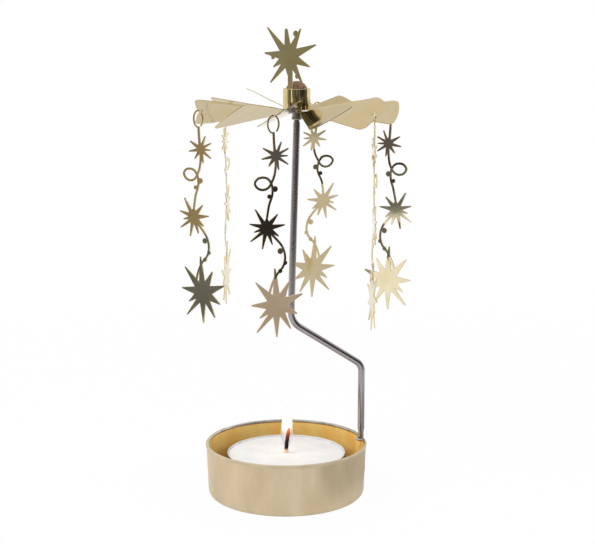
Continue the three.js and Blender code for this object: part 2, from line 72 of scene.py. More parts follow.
def smoothStep(value, start, end):
    # 0 before start, 1 after end, and 3t^2 - 2t^3 between them.
    t = np.clip((np.asarray(value, float) - start) / (end - start), 0, 1)
    return t * t * (3 - 2 * t)


def slowWaves(x, y, waves):
    # Sum of sine waves, each strength * sin(a x + b y + phase).
    return sum(strength * np.sin(a * x + b * y + phase) for strength, a, b, phase in waves)


def unit(vectors):
    # Each vector divided by its length.
    return vectors / np.linalg.norm(vectors, axis=-1, keepdims=True)


def leftOf(vectors):
    # Each plane vector (x, y) turned a quarter turn to the left, to (-y, x).
    return np.stack([-vectors[..., 1], vectors[..., 0]], -1)


def fullTurn(columns):
    # Angles spread evenly round a circle, in radians.
    return np.linspace(0, 2 * math.pi, columns, endpoint=False)


def circle(angles, radius=1.0):
    # Points of a circle about the origin: radius * (cos a, sin a), a in radians.
    return np.stack([np.cos(angles), np.sin(angles)], -1) * radius


def arcPoints(centre, radius, start, end, steps):
    # Arc about a centre, from one angle to another in degrees. A pair of radii gives an ellipse.
    return np.array(centre) + circle(np.radians(np.linspace(start, end, steps + 1)), radius)


def splineThrough(corners, steps):
    # Catmull-Rom curve: each span is a cubic of the four points around it, with the ends repeated.
    p = np.asarray(corners, float)
    p = np.concatenate([2 * p[:1] - p[1:2], p, 2 * p[-1:] - p[-2:-1]])
    t = (np.arange(steps) / steps)[None, :, None]
    a, b, c, d = (p[k:len(p) - 3 + k, None, :] for k in range(4))
    curve = (2 * b + (c - a) * t + (2 * a - 5 * b + 4 * c - d) * t**2 + (3 * b - a - 3 * c + d) * t**3) / 2
    return np.concatenate([curve.reshape(-1, p.shape[1]), p[-2:-1]])


def withHeight(points, heights):
    # Plane points (x, y) with a height each, or one height for all.
    heights = np.broadcast_to(np.reshape(heights, (-1, 1)), (len(points), 1))
    return np.concatenate([points, heights], -1)


def turnedGrid(profile, columns):
    # Surface of revolution: (r cos a, r sin a, z) for each profile point (r, z).
    r, z = np.asarray(profile, float).T[..., None, None]
    around = r * circle(fullTurn(columns))
    return np.concatenate([around, np.broadcast_to(z, (len(z), columns, 1))], -1)


def roundSections(path, side, other, radii, columns):
    # Circle about each point of a path, in the plane of two directions. The radii are one for each
    # circle, or one for each of its points.
    a = fullTurn(columns)[None, :, None]
    radii = np.reshape(radii, (len(path), -1, 1))
    return path[:, None] + radii * (side[:, None] * np.cos(a) + other[:, None] * np.sin(a))


def tubeAlong(path, radii, columns, guide=None):
    # Circles square to a path, or to a guide without doubled points: each keeps the last one's side
    # direction, less its part along the path.
    ahead = unit(np.gradient(path if guide is None else guide, axis=0))
    side = np.array((0.0, 1.0, 0.0))
    sideways = []
    for direction in ahead:
        side = unit(side - direction * (side @ direction))
        sideways.append(side)
    sideways = np.stack(sideways)
    return roundSections(path, sideways, np.cross(ahead, sideways), radii, columns)


def capped(grid, first, last):
    # A grid that is closed to one point before its first row and to one after its last.
    row = (1, grid.shape[1], 3)
    return np.concatenate([np.broadcast_to(first, row), grid, np.broadcast_to(last, row)])


def gridFaces(rows, columns, wrapRows=False, wrapColumns=True):
    # Four-sided faces of a grid of points that is stored row by row.
    i, j = np.meshgrid(np.arange(rows if wrapRows else rows - 1),
                       np.arange(columns if wrapColumns else columns - 1), indexing="ij")
    nextI, nextJ = (i + 1) % rows, (j + 1) % columns
    corners = [i * columns + j, i * columns + nextJ, nextI * columns + nextJ, nextI * columns + j]
    return np.stack(corners, -1).reshape(-1, 4)


def placed(name, data):
    # An object of the scene that holds a mesh, a lamp or a camera.
    made = bpy.data.objects.new(name, data)
    bpy.context.scene.collection.objects.link(made)
    return made


class Shells:
    # Collects grids of points, in millimetres, with the material slot of each, for one mesh.
    def __init__(self):
        self.points, self.faces, self.finishes, self.count = [], [], [], 0

    def add(self, points, faces, finish=0):
        flat = np.asarray(points, float).reshape(-1, 3)
        self.points.append(flat)
        self.faces.append(np.asarray(faces) + self.count)
        self.finishes.append(np.broadcast_to(finish, len(faces)))
        self.count += len(flat)

    def grid(self, points, wrapRows=False, finish=0):
        self.add(points, gridFaces(*points.shape[:2], wrapRows), finish)

    def piece(self, name, body, slot, materials, stands=(), crease=40, alongMap=None):
        # One mesh object in the frame, its doubles merged and its faces turned outwards. Its materials
        # are given themselves, or as the names of metals in the list below.
        mesh = bpy.data.meshes.new(name)
        points = np.concatenate(self.points) * mm
        mesh.from_pydata(points.tolist(), [], np.concatenate(self.faces).tolist())
        mesh.polygons.foreach_set("material_index", np.concatenate(self.finishes).astype(np.int32))
        if alongMap is not None:
            corners = np.empty(len(mesh.loops), np.int32)
            mesh.loops.foreach_get("vertex_index", corners)
            layer = mesh.uv_layers.new(name="along")
            layer.data.foreach_set("uv", np.asarray(alongMap, np.float32)[corners].ravel())
        welded = bmesh.new()
        welded.from_mesh(mesh)
        bmesh.ops.remove_doubles(welded, verts=welded.verts, dist=weldGap)
        bmesh.ops.recalc_face_normals(welded, faces=welded.faces)
        welded.to_mesh(mesh)
        welded.free()
        mesh.polygons.foreach_set("use_smooth", np.ones(len(mesh.polygons), bool))
        mesh.set_sharp_from_angle(angle=math.radians(crease))
        for material in materials:
            mesh.materials.append(metals.get(material, material))
        piece = placed(name, mesh)
        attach(piece, body)
        if stands:
            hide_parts(*stands)
        return piece


def shadeOf(red, green, blue):
    # A colour as it looks on a screen, 0 to 255, turned into the linear values that a shader reads.
    share = np.array([red, green, blue]) / 255
    return np.where(share <= 0.04045, share / 12.92, ((share + 0.055) / 1.055) ** 2.4)


def newMaterial(name):
    # A material with an empty node tree.
    material = bpy.data.materials.new(name)
    material.use_nodes = True
    material.node_tree.nodes.clear()
    return material, material.node_tree


def addNode(tree, kind, values, **settings):
    # One shader node. Values go to its sockets, as constants or as links from another node's socket.
    made = tree.nodes.new("ShaderNode" + kind)
    for key, value in settings.items():
        setattr(made, key, value)
    for key, value in values.items():
        if isinstance(value, bpy.types.NodeSocket):
            tree.links.new(value, made.inputs[key])
        else:
            made.inputs[key].default_value = value
    return made


def shade(tree, kind, values, output=0, **settings):
    # One shader node of which only this output is used.
    return addNode(tree, kind, values, **settings).outputs[output]


def noiseOf(tree, place, scale, detail, roughness=0.5):
    values = {"Vector": place, "Scale": scale, "Detail": detail, "Roughness": roughness}
    return shade(tree, "TexNoise", values)


def mapped(tree, value, low, high, fromLow=0.0, fromHigh=1.0, **settings):
    # A value carried evenly from one span to another, here to low at fromLow and to high at fromHigh.
    return shade(tree, "MapRange", {"Value": value, "From Min": fromLow, "From Max": fromHigh,
                                    "To Min": low, "To Max": high}, **settings)


def bumpOf(tree, height, strength, depth):
    # Small relief from a noise, with its depth in millimetres.
    return shade(tree, "Bump", {"Strength": strength, "Distance": depth * mm, "Height": height})


def surfaceOf(tree, kind, values):
    # The shader that the material's surface is, joined to its output.
    addNode(tree, "OutputMaterial", {"Surface": shade(tree, kind, values)})


def shadeRamp(tree, factor, stops):
    # Colour ramp from pairs of a place and a colour, or of a place and one number for a grey.
    ramp = addNode(tree, "ValToRGB", {"Fac": factor})
    points = ramp.color_ramp.elements
    while len(points) < len(stops):
        points.new(0.5)
    for point, (place, tone) in zip(points, stops):
        point.position = place
        point.color = (*np.broadcast_to(tone, 3).tolist(), 1.0)
    return ramp.outputs["Color"]


def heightShare(tree, low, high):
    # 0 at one height of the object and 1 at another, in millimetres.
    height = shade(tree, "SeparateXYZ", {"Vector": shade(tree, "TexCoord", {}, "Object")}, "Z")
    return mapped(tree, height, 0.0, 1.0, low * mm, high * mm)


# What a metal has unless its own line says otherwise. Scales are per metre, a detail is a noise's depth
# and its roughness, and the spans say between which values of the noise the two tones and the two
# degrees of roughness change over.
plainMetal = {
    "metallic": 1.0, "grainStretch": (1, 1, 1), "grainScale": 900.0, "grainDepth": 0.01, "grainStrength": 0.3,
    "cloudStretch": (1, 1, 1), "cloudScale": 160.0, "toneSpan": (0.32, 0.68), "glossSpan": (0.6, 1.4),
    "grainDetail": (4.0, 0.6), "cloudDetail": (3.0, 0.55),
}


def metalFinish(name, deep, pale, roughness, source="Object", **changes):
    # Metal: a cloud noise shifts its colour and gloss, and a stretched noise gives the fine grain.
    look = {**plainMetal, **changes}
    material, tree = newMaterial(name)
    place = shade(tree, "TexCoord", {}, source)
    grainPlace = shade(tree, "Mapping", {"Vector": place, "Scale": look["grainStretch"]})
    grain = noiseOf(tree, grainPlace, look["grainScale"], *look["grainDetail"])
    cloudPlace = shade(tree, "Mapping", {"Vector": place, "Scale": look["cloudStretch"]})
    cloud = noiseOf(tree, cloudPlace, look["cloudScale"], *look["cloudDetail"])
    tones = shadeOf(*deep), shadeOf(*pale)
    both = shade(tree, "Math", {0: cloud, 1: grain}, operation="ADD")
    surfaceOf(tree, "BsdfPrincipled", {
        "Base Color": shadeRamp(tree, cloud, list(zip(look["toneSpan"], tones))),
        "Metallic": look["metallic"], "Roughness": mapped(tree, both, *roughness, *look["glossSpan"]),
        "Normal": bumpOf(tree, grain, look["grainStrength"], look["grainDepth"])})
    return material


# Each metal's name, its deep and its pale tone, its lowest and highest roughness, and what is its own.
metals = {
    "satinBrass": metalFinish(
        "satin_brass_outside", (203, 184, 151), (219, 202, 172), (0.34, 0.46), metallic=0.8,
        grainStretch=(1, 1, 0.25), grainScale=2400.0, grainDepth=0.02, grainStrength=0.35,
        cloudStretch=(1, 1, 0.35), cloudScale=150.0),
    # The inside's golden tone is partly the brass's own and partly painted warm light: brightened and made
    # mostly matte to stand in for the flame's glow.
    "goldenInsidePaintedGlow": metalFinish(
        "golden_brass_inside_painted_glow", (250, 196, 100), (255, 222, 138), (0.36, 0.48), metallic=0.12,
        grainStretch=(1, 1, 6), grainDepth=0.015, grainStrength=0.4, cloudStretch=(1, 1, 0.5),
        cloudScale=120.0),
    "rolledRim": metalFinish(
        "rolled_rim", (198, 181, 150), (210, 195, 166), (0.4, 0.48), metallic=0.4, grainScale=1200.0,
        cloudScale=200.0),
    "bareRim": metalFinish(
        "bare_rim_inside", (178, 174, 166), (214, 211, 204), (0.14, 0.22), metallic=0.9, grainScale=1200.0,
        grainDepth=0.004, grainStrength=0.2, cloudScale=200.0),
    "brassSheet": metalFinish(
        "brass_sheet", (200, 179, 128), (202, 186, 155), (0.08, 0.14), grainScale=500.0, grainDepth=0.002,
        grainStrength=0.04, cloudScale=90.0),
    "pendantSheet": metalFinish(
        "pendant_sheet", (222, 209, 172), (234, 223, 192), (0.05, 0.09), grainScale=500.0, grainDepth=0.001,
        grainStrength=0.02),
    "cutBrass": metalFinish(
        "cut_brass_edge", (222, 200, 150), (234, 218, 180), (0.3, 0.42), metallic=0.35, grainScale=500.0,
        grainDepth=0.001, grainStrength=0.02),
    "polishedBrass": metalFinish(
        "polished_brass", (210, 192, 138), (230, 214, 166), (0.05, 0.1), grainStretch=(1, 1, 0.2),
        grainStrength=0.35, cloudScale=240.0),
    # The thimble's deep brown tones are a painted dark reflection on its polished dome.
    "darkenedThimbleBrass": metalFinish(
        "thimble_brass_painted_dark_reflection", (100, 77, 62), (138, 110, 88), (0.1, 0.18), cloudScale=260.0),
    "lipSteel": metalFinish(
        "thimble_lip", (138, 134, 132), (170, 166, 162), (0.16, 0.26), cloudScale=260.0),
    "drawnSteel": metalFinish(
        "drawn_steel", (152, 146, 149), (182, 176, 179), (0.2, 0.26), "UV", grainStretch=(1, 8, 1),
        grainScale=20.0, grainDepth=0.0005, grainStrength=0.01, cloudStretch=(1, 4, 1), cloudScale=12.0),
    # The roll's brightened aluminium is painted light, and the wall's grey-blue aluminium is painted shade.
    "paintedLitAluminiumRoll": metalFinish(
        "aluminium_roll_painted_light", (218, 219, 222), (236, 237, 239), (0.3, 0.4), metallic=0.2,
        grainScale=1200.0, grainDepth=0.008),
    "aluminium": metalFinish(
        "thin_aluminium_painted_shade", (128, 132, 143), (174, 177, 184), (0.2, 0.32), grainStretch=(1, 1, 4),
        grainScale=1200.0, grainDepth=0.012, grainStrength=0.4),
}
print("metals ready:", len(metals))


def thickSheet(shells, middle, kept, thickness, finishes):
    # A sheet of a middle surface whose columns wrap round: both skins lie half the thickness along the
    # grid's normals, and the edges between kept and left-out cells are closed.
    around = np.roll(middle, -1, axis=1) - np.roll(middle, 1, axis=1)
    normal = np.cross(around, np.gradient(middle, axis=0))
    length = np.linalg.norm(normal, axis=-1, keepdims=True)
    normal = normal / np.maximum(length, 1e-12)
    normal[length[..., 0] < 1e-9] = -upwards
    half = thickness[..., None] / 2
    rows, columns = middle.shape[:2]
    total = rows * columns
    cells = gridFaces(rows, columns).reshape(rows - 1, columns, 4)[kept]
    empty = np.zeros((1, columns), bool)
    i, j = np.nonzero(np.concatenate([empty, kept]) != np.concatenate([kept, empty]))
    m, n = np.nonzero(kept != np.roll(kept, 1, axis=1))
    start = np.concatenate([i * columns + j, m * columns + n])
    end = np.concatenate([i * columns + (j + 1) % columns, (m + 1) * columns + n])
    edges = np.stack([start, end, end + total, start + total], -1)
    shells.add(np.concatenate([middle + normal * half, middle - normal * half]),
               np.concatenate([cells, cells[:, ::-1] + total, edges]),
               np.repeat(finishes, (len(cells), len(cells), len(edges))))


# The flute is the groove in the cup's wall that the mast's foot stands in, and the strap holds it there.
cupLook = {
    "wall": 0.65, "corner": 2.0, "taper": 0.6, "rimBead": 1.1, "pinchedBead": 0.8, "bareShare": 0.15,
    "socketAngle": 11.0, "footReach": 24.75, "fluteRadius": 1.45, "rimFluteRadius": 1.5, "fluteFillet": 0.5,
    "fluteSheet": 0.5, "fluteFrom": 2.1, "fluteFull": 3.0, "fluteMargin": 0.1, "strapRadius": 1.22,
    "strapSheet": 0.4, "strapFrom": 6.0, "strapTo": 11.0, "slit": 0.4, "roundColumns": 300,
    "filletColumns": 6, "fluteColumns": 22, "beadColumns": 20, "pinchColumns": 4, "floorRings": 14,
    "cornerSteps": 10, "wallRings": (12, 13, 12), "strapRings": 12,
}
socketColumns = 2 * cupLook["filletColumns"] + cupLook["fluteColumns"] + 1
rimHeight = cupHigh[2] - cupLook["rimBead"] / 2


def wallReach(height):
    # Radius of the wall's middle: it grows evenly with the height, by the taper from corner to rim.
    look = cupLook
    rise = (height - look["corner"]) / (rimHeight - look["corner"])
    return -cupLow[0] - look["rimBead"] / 2 - look["taper"] * (1 - rise)


def socketPath(radius, flute, outward):
    # Plane section at the mast's foot: fillet, part of a circle about the foot, fillet. x is outwards.
    look = cupLook
    fillet, reach, steps = look["fluteFillet"], look["footReach"], look["filletColumns"]
    edge = flute + fillet
    onWall = math.sqrt(radius**2 - edge**2)
    if outward:
        meet = math.degrees(math.acos(min((radius - reach) / flute, 1)))
        bulge = arcPoints((reach, 0), flute, -meet, meet, look["fluteColumns"])
        side = np.linspace((onWall, -edge), bulge[0], steps, endpoint=False)
    else:
        bulge = arcPoints((reach, 0), flute, 270, 90, look["fluteColumns"])
        side = arcPoints((reach, -edge), (onWall - reach, fillet), 0, 90, steps)[:-1]
    return np.concatenate([side, bulge, side[::-1] * (1, -1)])


def cupRing(radius, height, flute, depth=1.0, outward=False):
    # One ring round the cup: a plain circle into whose first columns the flute is blended by depth,
    # turned to the socket's angle.
    look = cupLook
    if depth:
        bent = socketPath(radius, flute, outward)
        half = math.atan2(bent[-1, 1], bent[-1, 0])
    else:
        half = (flute + look["fluteFillet"]) / wallReach(look["corner"])
    away = np.linspace(half, 2 * math.pi - half, look["roundColumns"] + 2)[1:-1]
    ring = circle(np.concatenate([np.linspace(-half, half, socketColumns), away]), radius)
    if depth:
        ring[:socketColumns] += (bent - ring[:socketColumns]) * depth
    turn = math.radians(look["socketAngle"])
    ring = ring @ np.array([[math.cos(turn), math.sin(turn)], [-math.sin(turn), math.cos(turn)]])
    return withHeight(ring, height)


def makeCup():
    # Drawn cup: its middle profile runs over the floor, round the corner and up the wall.
    look = cupLook
    wall, corner = look["wall"], look["corner"]
    floorEdge = wallReach(corner) + wall / 2 - corner
    slitLow, slitHigh = look["strapFrom"] - look["slit"], look["strapTo"] + look["slit"]
    levels = (corner, slitLow, slitHigh, rimHeight)
    heights = np.concatenate([np.linspace(low, high, rings)[1:]
                              for low, high, rings in zip(levels, levels[1:], look["wallRings"])])
    profile = np.concatenate([
        np.linspace((0, wall / 2), (floorEdge, wall / 2), look["floorRings"])[:-1],
        arcPoints((floorEdge, corner), corner - wall / 2, -90, 0, look["cornerSteps"]),
        np.stack([wallReach(heights), heights], -1)])
    # The flute starts where the wall is far enough out to meet its fillets.
    depths = smoothStep(profile[:, 1], look["fluteFrom"], look["fluteFull"])
    depths = depths * (profile[:, 0] > look["footReach"] + look["fluteMargin"])
    middle = np.stack([cupRing(max(r, 1e-4), z, look["fluteRadius"], depth)
                       for (r, z), depth in zip(profile, depths)])
    kept = np.ones((len(profile) - 1, middle.shape[1]), bool)
    cellHeight = (profile[1:, 1] + profile[:-1, 1]) / 2
    kept[(cellHeight > slitLow) & (cellHeight < slitHigh), :socketColumns - 1] = False
    pressed = slice(look["filletColumns"], socketColumns - look["filletColumns"])
    thickness = np.full(middle.shape[:2], wall)
    thickness[profile[:, 1] > look["fluteFull"], pressed] = look["fluteSheet"]
    shells = Shells()
    thickSheet(shells, middle, kept, thickness, (0, 1, 1))
    shells.piece("cup_shell", "cup", "satin_brass", ["satinBrass", "goldenInsidePaintedGlow"], ["candle_cup"])

    strap = np.stack([cupRing(wallReach(z), z, look["strapRadius"], outward=True)
                      for z in np.linspace(look["strapFrom"], look["strapTo"], look["strapRings"])])
    held = np.zeros((len(strap) - 1, strap.shape[1]), bool)
    held[:, :socketColumns - 1] = True
    bar = Shells()
    thickSheet(bar, strap, held, np.full(strap.shape[:2], look["strapSheet"]), (0, 1, 0))
    bar.piece("socket_strap", "cup", "satin_brass", ["satinBrass", "goldenInsidePaintedGlow"])

    # The rim is a bead along the top ring, pinched where it crosses the flute, and bare on its inner half.
    path = cupRing(wallReach(rimHeight), rimHeight, look["rimFluteRadius"])
    out = np.cross(unit(np.roll(path, -1, axis=0) - np.roll(path, 1, axis=0)), upwards)
    pinch = np.zeros(len(path))
    pinch[pressed] = 1
    blur = look["pinchColumns"]
    pinch = np.convolve(np.concatenate([pinch[-blur:], pinch, pinch[:blur]]),
                        np.full(2 * blur + 1, 1 / (2 * blur + 1)), "valid")
    radii = (look["rimBead"] + (look["pinchedBead"] - look["rimBead"]) * pinch) / 2
    columns = look["beadColumns"]
    inward = np.cos(fullTurn(columns) + math.pi / columns) < look["bareShare"]
    rim = Shells()
    rim.grid(roundSections(path, out, np.broadcast_to(upwards, path.shape), radii, columns), wrapRows=True,
             finish=np.tile(inward, len(path)))
    rim.piece("cup_rim", "cup", "satin_brass", ["rolledRim", "bareRim"])


makeCup()
print("cup made")


mastLook = {
    "radius": 1.1, "footRadius": 0.9, "footSoft": 0.25, "footTop": 20.0, "footTaper": 0.7,
    "shoulderDrop": 0.1, "shoulderSoft": 0.04, "lowerBend": 41.3, "upperBend": 56.4, "lean": 1.85,
    "lowerRound": 3.6, "upperRound": 6.0, "neckBelowLip": 1.2, "neckTaper": 1.2, "needleRadius": 0.85,
    "needleTaper": 4.5, "tipRadius": 0.12, "tipRise": 0.3, "tipFlare": 1.6, "sides": 40, "bendSteps": 20,
    "straightSteps": 11, "mapLength": 100.0, "guideGap": 1e-3, "guideStep": 1e-4,
}


def roundedPath(corners, radii, steps):
    # Straight runs joined by arcs: at each inner corner an arc of its own radius, tangent to both runs.
    stations = [corners[:1]]
    for before, corner, after, radius in zip(corners[:-2], corners[1:-1], corners[2:], radii):
        into, out = unit(corner - before), unit(after - corner)
        turn = math.acos(float(into @ out))
        centre = corner + unit(out - into) * radius / math.cos(turn / 2)
        start = corner - into * radius * math.tan(turn / 2) - centre
        side = unit(np.cross(np.cross(into, out), start)) * radius
        a = np.linspace(0, turn, steps + 1)[:, None]
        stations.append(centre + start * np.cos(a) + side * np.sin(a))
    stations.append(corners[-1:])
    return np.concatenate(stations)


def makeMast():
    # One drawn wire: thin foot, shoulder, two bends and ground needle, as (height, radius) pairs at its
    # ends and one radius along its bent run.
    look = mastLook
    mastLow, mastHigh = boxOf("mast")
    foot = circle(math.radians(cupLook["socketAngle"]), cupLook["footReach"])
    neck = thimbleLow[2] - look["neckBelowLip"]
    corners = np.array([[*foot, look["footTop"]], [*foot, look["lowerBend"]],
                        [axisX - look["lean"], axisY, look["upperBend"]], [axisX, axisY, neck]])
    run = roundedPath(corners, [look["lowerRound"], look["upperRound"]], look["bendSteps"])
    run = np.concatenate([run[:-1], np.linspace(run[-2], run[-1], look["straightSteps"] + 1)[1:]])
    low, tip = mastLow[2], mastHigh[2]
    thin, soft, needle = look["footRadius"], look["footSoft"], look["needleRadius"]
    footEnd = np.array([(low, 0), (low, thin - soft), (low + soft, thin),
                        (look["footTop"] - look["footTaper"], thin),
                        (look["footTop"] - look["shoulderDrop"], look["radius"] - look["shoulderSoft"])])
    needleEnd = np.array([(neck + look["neckTaper"], needle), (tip - look["needleTaper"], needle),
                          (tip - look["tipRise"], look["tipRadius"] * look["tipFlare"]),
                          (tip, look["tipRadius"]), (tip, 0)])
    ends = len(footEnd)
    path = np.concatenate([withHeight(np.tile(foot, (ends, 1)), footEnd[:, 0]), run,
                           withHeight(np.tile((axisX, axisY), (ends, 1)), needleEnd[:, 0])])
    radii = np.concatenate([footEnd[:, 1], np.full(len(run), look["radius"]), needleEnd[:, 1]])
    # The ends hold two points at one height, so their directions are read from evenly spaced ones.
    guide = path.copy()
    spread = np.arange(ends) * look["guideStep"]
    guide[:ends, 2] = low - look["guideGap"] + spread
    guide[-ends:, 2] = tip + look["guideGap"] + spread
    lengths = np.linalg.norm(np.diff(path, axis=0), axis=-1)
    travel = np.concatenate([[0], np.cumsum(lengths)]) / look["mapLength"]
    around = np.abs(np.linspace(-1, 1, look["sides"], endpoint=False))
    along = np.stack(np.broadcast_arrays(travel[:, None], around[None, :]), -1).reshape(-1, 2)
    wire = Shells()
    wire.grid(tubeAlong(path, radii, look["sides"], guide))
    wire.piece("mast_wire", "mast", "steel_wire", ["drawnSteel"], ["mast"], alongMap=along)


makeMast()
print("mast made")


tinLook = {
    "outer": 18.9, "sheet": 0.12, "corner": 1.0, "roll": 0.06, "rollBand": 1.6, "flutes": 72,
    "fluteDepth": 0.09, "fluteRise": (1.0, 4.0), "fluteFade": (1.5, 0.3), "fadeShare": 0.65, "rimDent": 0.05,
    "dentTurns": (31, 12), "dentBand": 1.0, "floorReach": 4.0, "floorGap": 0.5, "floorRings": 6,
    "cornerSteps": 6, "wallRings": 22, "rollSteps": 10, "rollLead": 6, "columns": 576,
}


def makeTealight():
    # Pressed aluminium cup: the wall's radius swells by depth * cos(flutes * a), fading to its ends.
    look = tinLook
    outer, sheet, corner, roll = look["outer"], look["sheet"], look["corner"], look["roll"]
    low, high = boxOf("tealight_shell")
    base, top = low[2], high[2]
    floorEdge = outer - corner - look["floorGap"]
    wallFrom, wallTo = base + corner, top - 2 * roll
    rings, steps, wallRings = look["floorRings"], look["cornerSteps"], look["wallRings"]
    profile = np.concatenate([
        [(0, base)], np.linspace((look["floorReach"], base), (floorEdge, base), rings),
        arcPoints((outer - corner, base + corner), corner, -90, 0, steps),
        np.linspace((outer, wallFrom), (outer, wallTo), wallRings)[1:-1],
        arcPoints((outer, top - roll), roll, -90, 140, look["rollSteps"]),
        np.linspace((outer - sheet, wallTo), (outer - sheet, wallFrom), wallRings)[1:-1],
        arcPoints((outer - corner, base + corner), corner - sheet, 0, -90, steps),
        np.linspace((floorEdge, base + sheet), (look["floorReach"], base + sheet), rings),
        [(0, base + sheet)]])
    grid = turnedGrid(profile, look["columns"])
    a = fullTurn(look["columns"])
    r, z = profile.T
    rise, fade = look["fluteRise"], look["fluteFade"]
    strong = smoothStep(z, base + rise[0], base + rise[1]) * (r > outer - 2 * sheet)
    strong = strong * (1 - look["fadeShare"] * smoothStep(z, top - fade[0], top - fade[1]))
    swell = strong[:, None] * look["fluteDepth"] / outer * np.cos(look["flutes"] * a)
    grid[..., :2] *= 1 + swell[..., None]
    many, few = look["dentTurns"]
    dents = np.cos(many * a + 1) * np.cos(few * a) - 1
    grid[..., 2] += look["rimDent"] * dents * smoothStep(z, top - look["dentBand"], top)[:, None]
    # The band that gets the brightened aluminium, painted light, is what lies above its lower edge, from some
    # rows before the roll's top inwards.
    cells = gridFaces(*grid.shape[:2])
    inside = np.arange(len(cells)) // look["columns"] > np.argmax(z) - look["rollLead"]
    shell = Shells()
    shell.add(grid, cells, inside & (grid[..., 2].reshape(-1)[cells].min(1) > top - look["rollBand"]))
    shell.piece("candle_tin", "candle", "tealight_aluminium", ["aluminium", "paintedLitAluminiumRoll"],
                ["tealight_shell"])


waxLook = {
    "gap": 0.3, "tinGap": 0.02, "poolShare": 0.45, "poolFrom": 0.35, "poolDip": 0.15, "corner": 1.0,
    "round": 0.12, "moundHeight": 0.5, "moundRadius": 2.6, "recessRadius": 7.3, "neckRadius": 1.6,
    "waveHeight": 0.05, "waveTop": 1.6, "waveBand": 0.1, "waveEdge": 0.4, "columns": 240, "topRings": 40,
    "cornerSteps": 6, "roundSteps": 4,
    "waves": [(0.5, 0.55, 0.47, 1), (0.5, 0.55, -0.47, 1), (0.6, 0.9, -0.8, 2)],
    "deep": (237, 237, 238), "pale": (244, 244, 245), "toneSpan": (0.35, 0.65), "cloudScale": 220.0,
    "cloudDetail": 4.0, "skinScale": 900.0, "skinDetail": 3.0, "skinDepth": 0.03, "skinStrength": 0.3,
    "roughness": 0.42, "scatterShare": 0.6, "scatterReach": 1.2, "scatterColour": (1.0, 0.9, 0.75),
}


def waxFinish():
    # Paraffin: faint cloudiness in its white, soft scattering below the surface, a slightly uneven skin.
    look = waxLook
    material, tree = newMaterial("white_wax")
    place = shade(tree, "TexCoord", {}, "Object")
    cloud = noiseOf(tree, place, look["cloudScale"], look["cloudDetail"])
    skin = noiseOf(tree, place, look["skinScale"], look["skinDetail"])
    tones = shadeOf(*look["deep"]), shadeOf(*look["pale"])
    surfaceOf(tree, "BsdfPrincipled", {
        "Base Color": shadeRamp(tree, cloud, list(zip(look["toneSpan"], tones))),
        "Roughness": look["roughness"], "Subsurface Weight": look["scatterShare"],
        "Subsurface Radius": look["scatterColour"], "Subsurface Scale": look["scatterReach"] * mm,
        "Normal": bumpOf(tree, skin, look["skinStrength"], look["skinDepth"])})
    return material


def makeWax():
    # Wax block: level top with a shallow pool round the wick, faint waves, recess for the sustainer.
    look = waxLook
    low, high = waxLow[2], waxHigh[2]
    sustainerLow, sustainerHigh = boxOf("wick_sustainer")
    outer = tinLook["outer"] - tinLook["sheet"] - look["tinGap"]
    pool, dip, corner, rim = outer * look["poolShare"], look["poolDip"], look["corner"], look["round"]
    bore = wickLook["radius"] + look["gap"]
    sheetTop = sustainerLow[2] + tinLook["sheet"] + look["gap"]
    neckTop = sustainerHigh[2] + look["gap"]
    r = np.linspace(outer - rim, bore, look["topRings"])
    level = high - dip * (1 - smoothStep(r, pool * look["poolFrom"], pool))
    level = level + look["moundHeight"] * (1 - smoothStep(r, bore, look["moundRadius"]))
    profile = np.concatenate([
        [(look["recessRadius"], low)],
        arcPoints((outer - corner, low + corner), corner, -90, 0, look["cornerSteps"]),
        [(outer, high - rim)],
        arcPoints((outer - rim, high - rim), rim, 0, 90, look["roundSteps"])[1:-1],
        np.stack([r, level], -1),
        [(bore, neckTop), (look["neckRadius"], neckTop), (look["neckRadius"], sheetTop),
         (look["recessRadius"], sheetTop)]])
    grid = turnedGrid(profile, look["columns"])
    x, y, z = np.moveaxis(grid, -1, 0)
    onTop = smoothStep(z, high - dip - look["waveBand"], high - dip)
    onTop = onTop * (np.hypot(x, y) < outer - look["waveEdge"])
    grid[..., 2] += look["waveHeight"] * (slowWaves(x, y, look["waves"]) - look["waveTop"]) * onTop
    block = Shells()
    block.grid(grid, wrapRows=True)
    block.piece("wax_block", "candle", "wax", [waxFinish()], ["wax"], crease=50)


# The tones and the glow run from the wax (0) to the wick's tip (1). The peach tones and the glow at the foot
# are painted flame light; the glow at the tip is the ember's own.
wickLook = {
    "radius": 0.65, "lean": 1.0, "extra": 1.1, "strands": 3, "twist": 1.1, "strandDepth": 0.07,
    "thinned": 0.35, "thinFrom": 0.75, "endStep": (0.02, 0.0, 0.15), "tipGap": 0.25, "sides": 36,
    "lowSteps": 6, "steps": 46,
    "tones": [(0.0, (236, 200, 178)), (0.13, (230, 184, 156)), (0.2, (20, 14, 12)), (0.5, (20, 14, 12)),
              (0.75, (90, 34, 18)), (1.0, (170, 70, 36))],
    "glow": [(0.0, (0.16, 0.1, 0.07)), (0.13, (0.14, 0.07, 0.045)), (0.2, 0), (0.5, 0),
             (0.7, (0.12, 0.02, 0.005)), (0.88, (0.45, 0.08, 0.02)), (1.0, (0.85, 0.25, 0.07))],
    "glowStrength": 1.2, "roughness": 0.9, "fibreScale": 4000.0, "fibreDetail": 3.0, "fibreDepth": 0.06,
    "fibreStrength": 0.8,
}


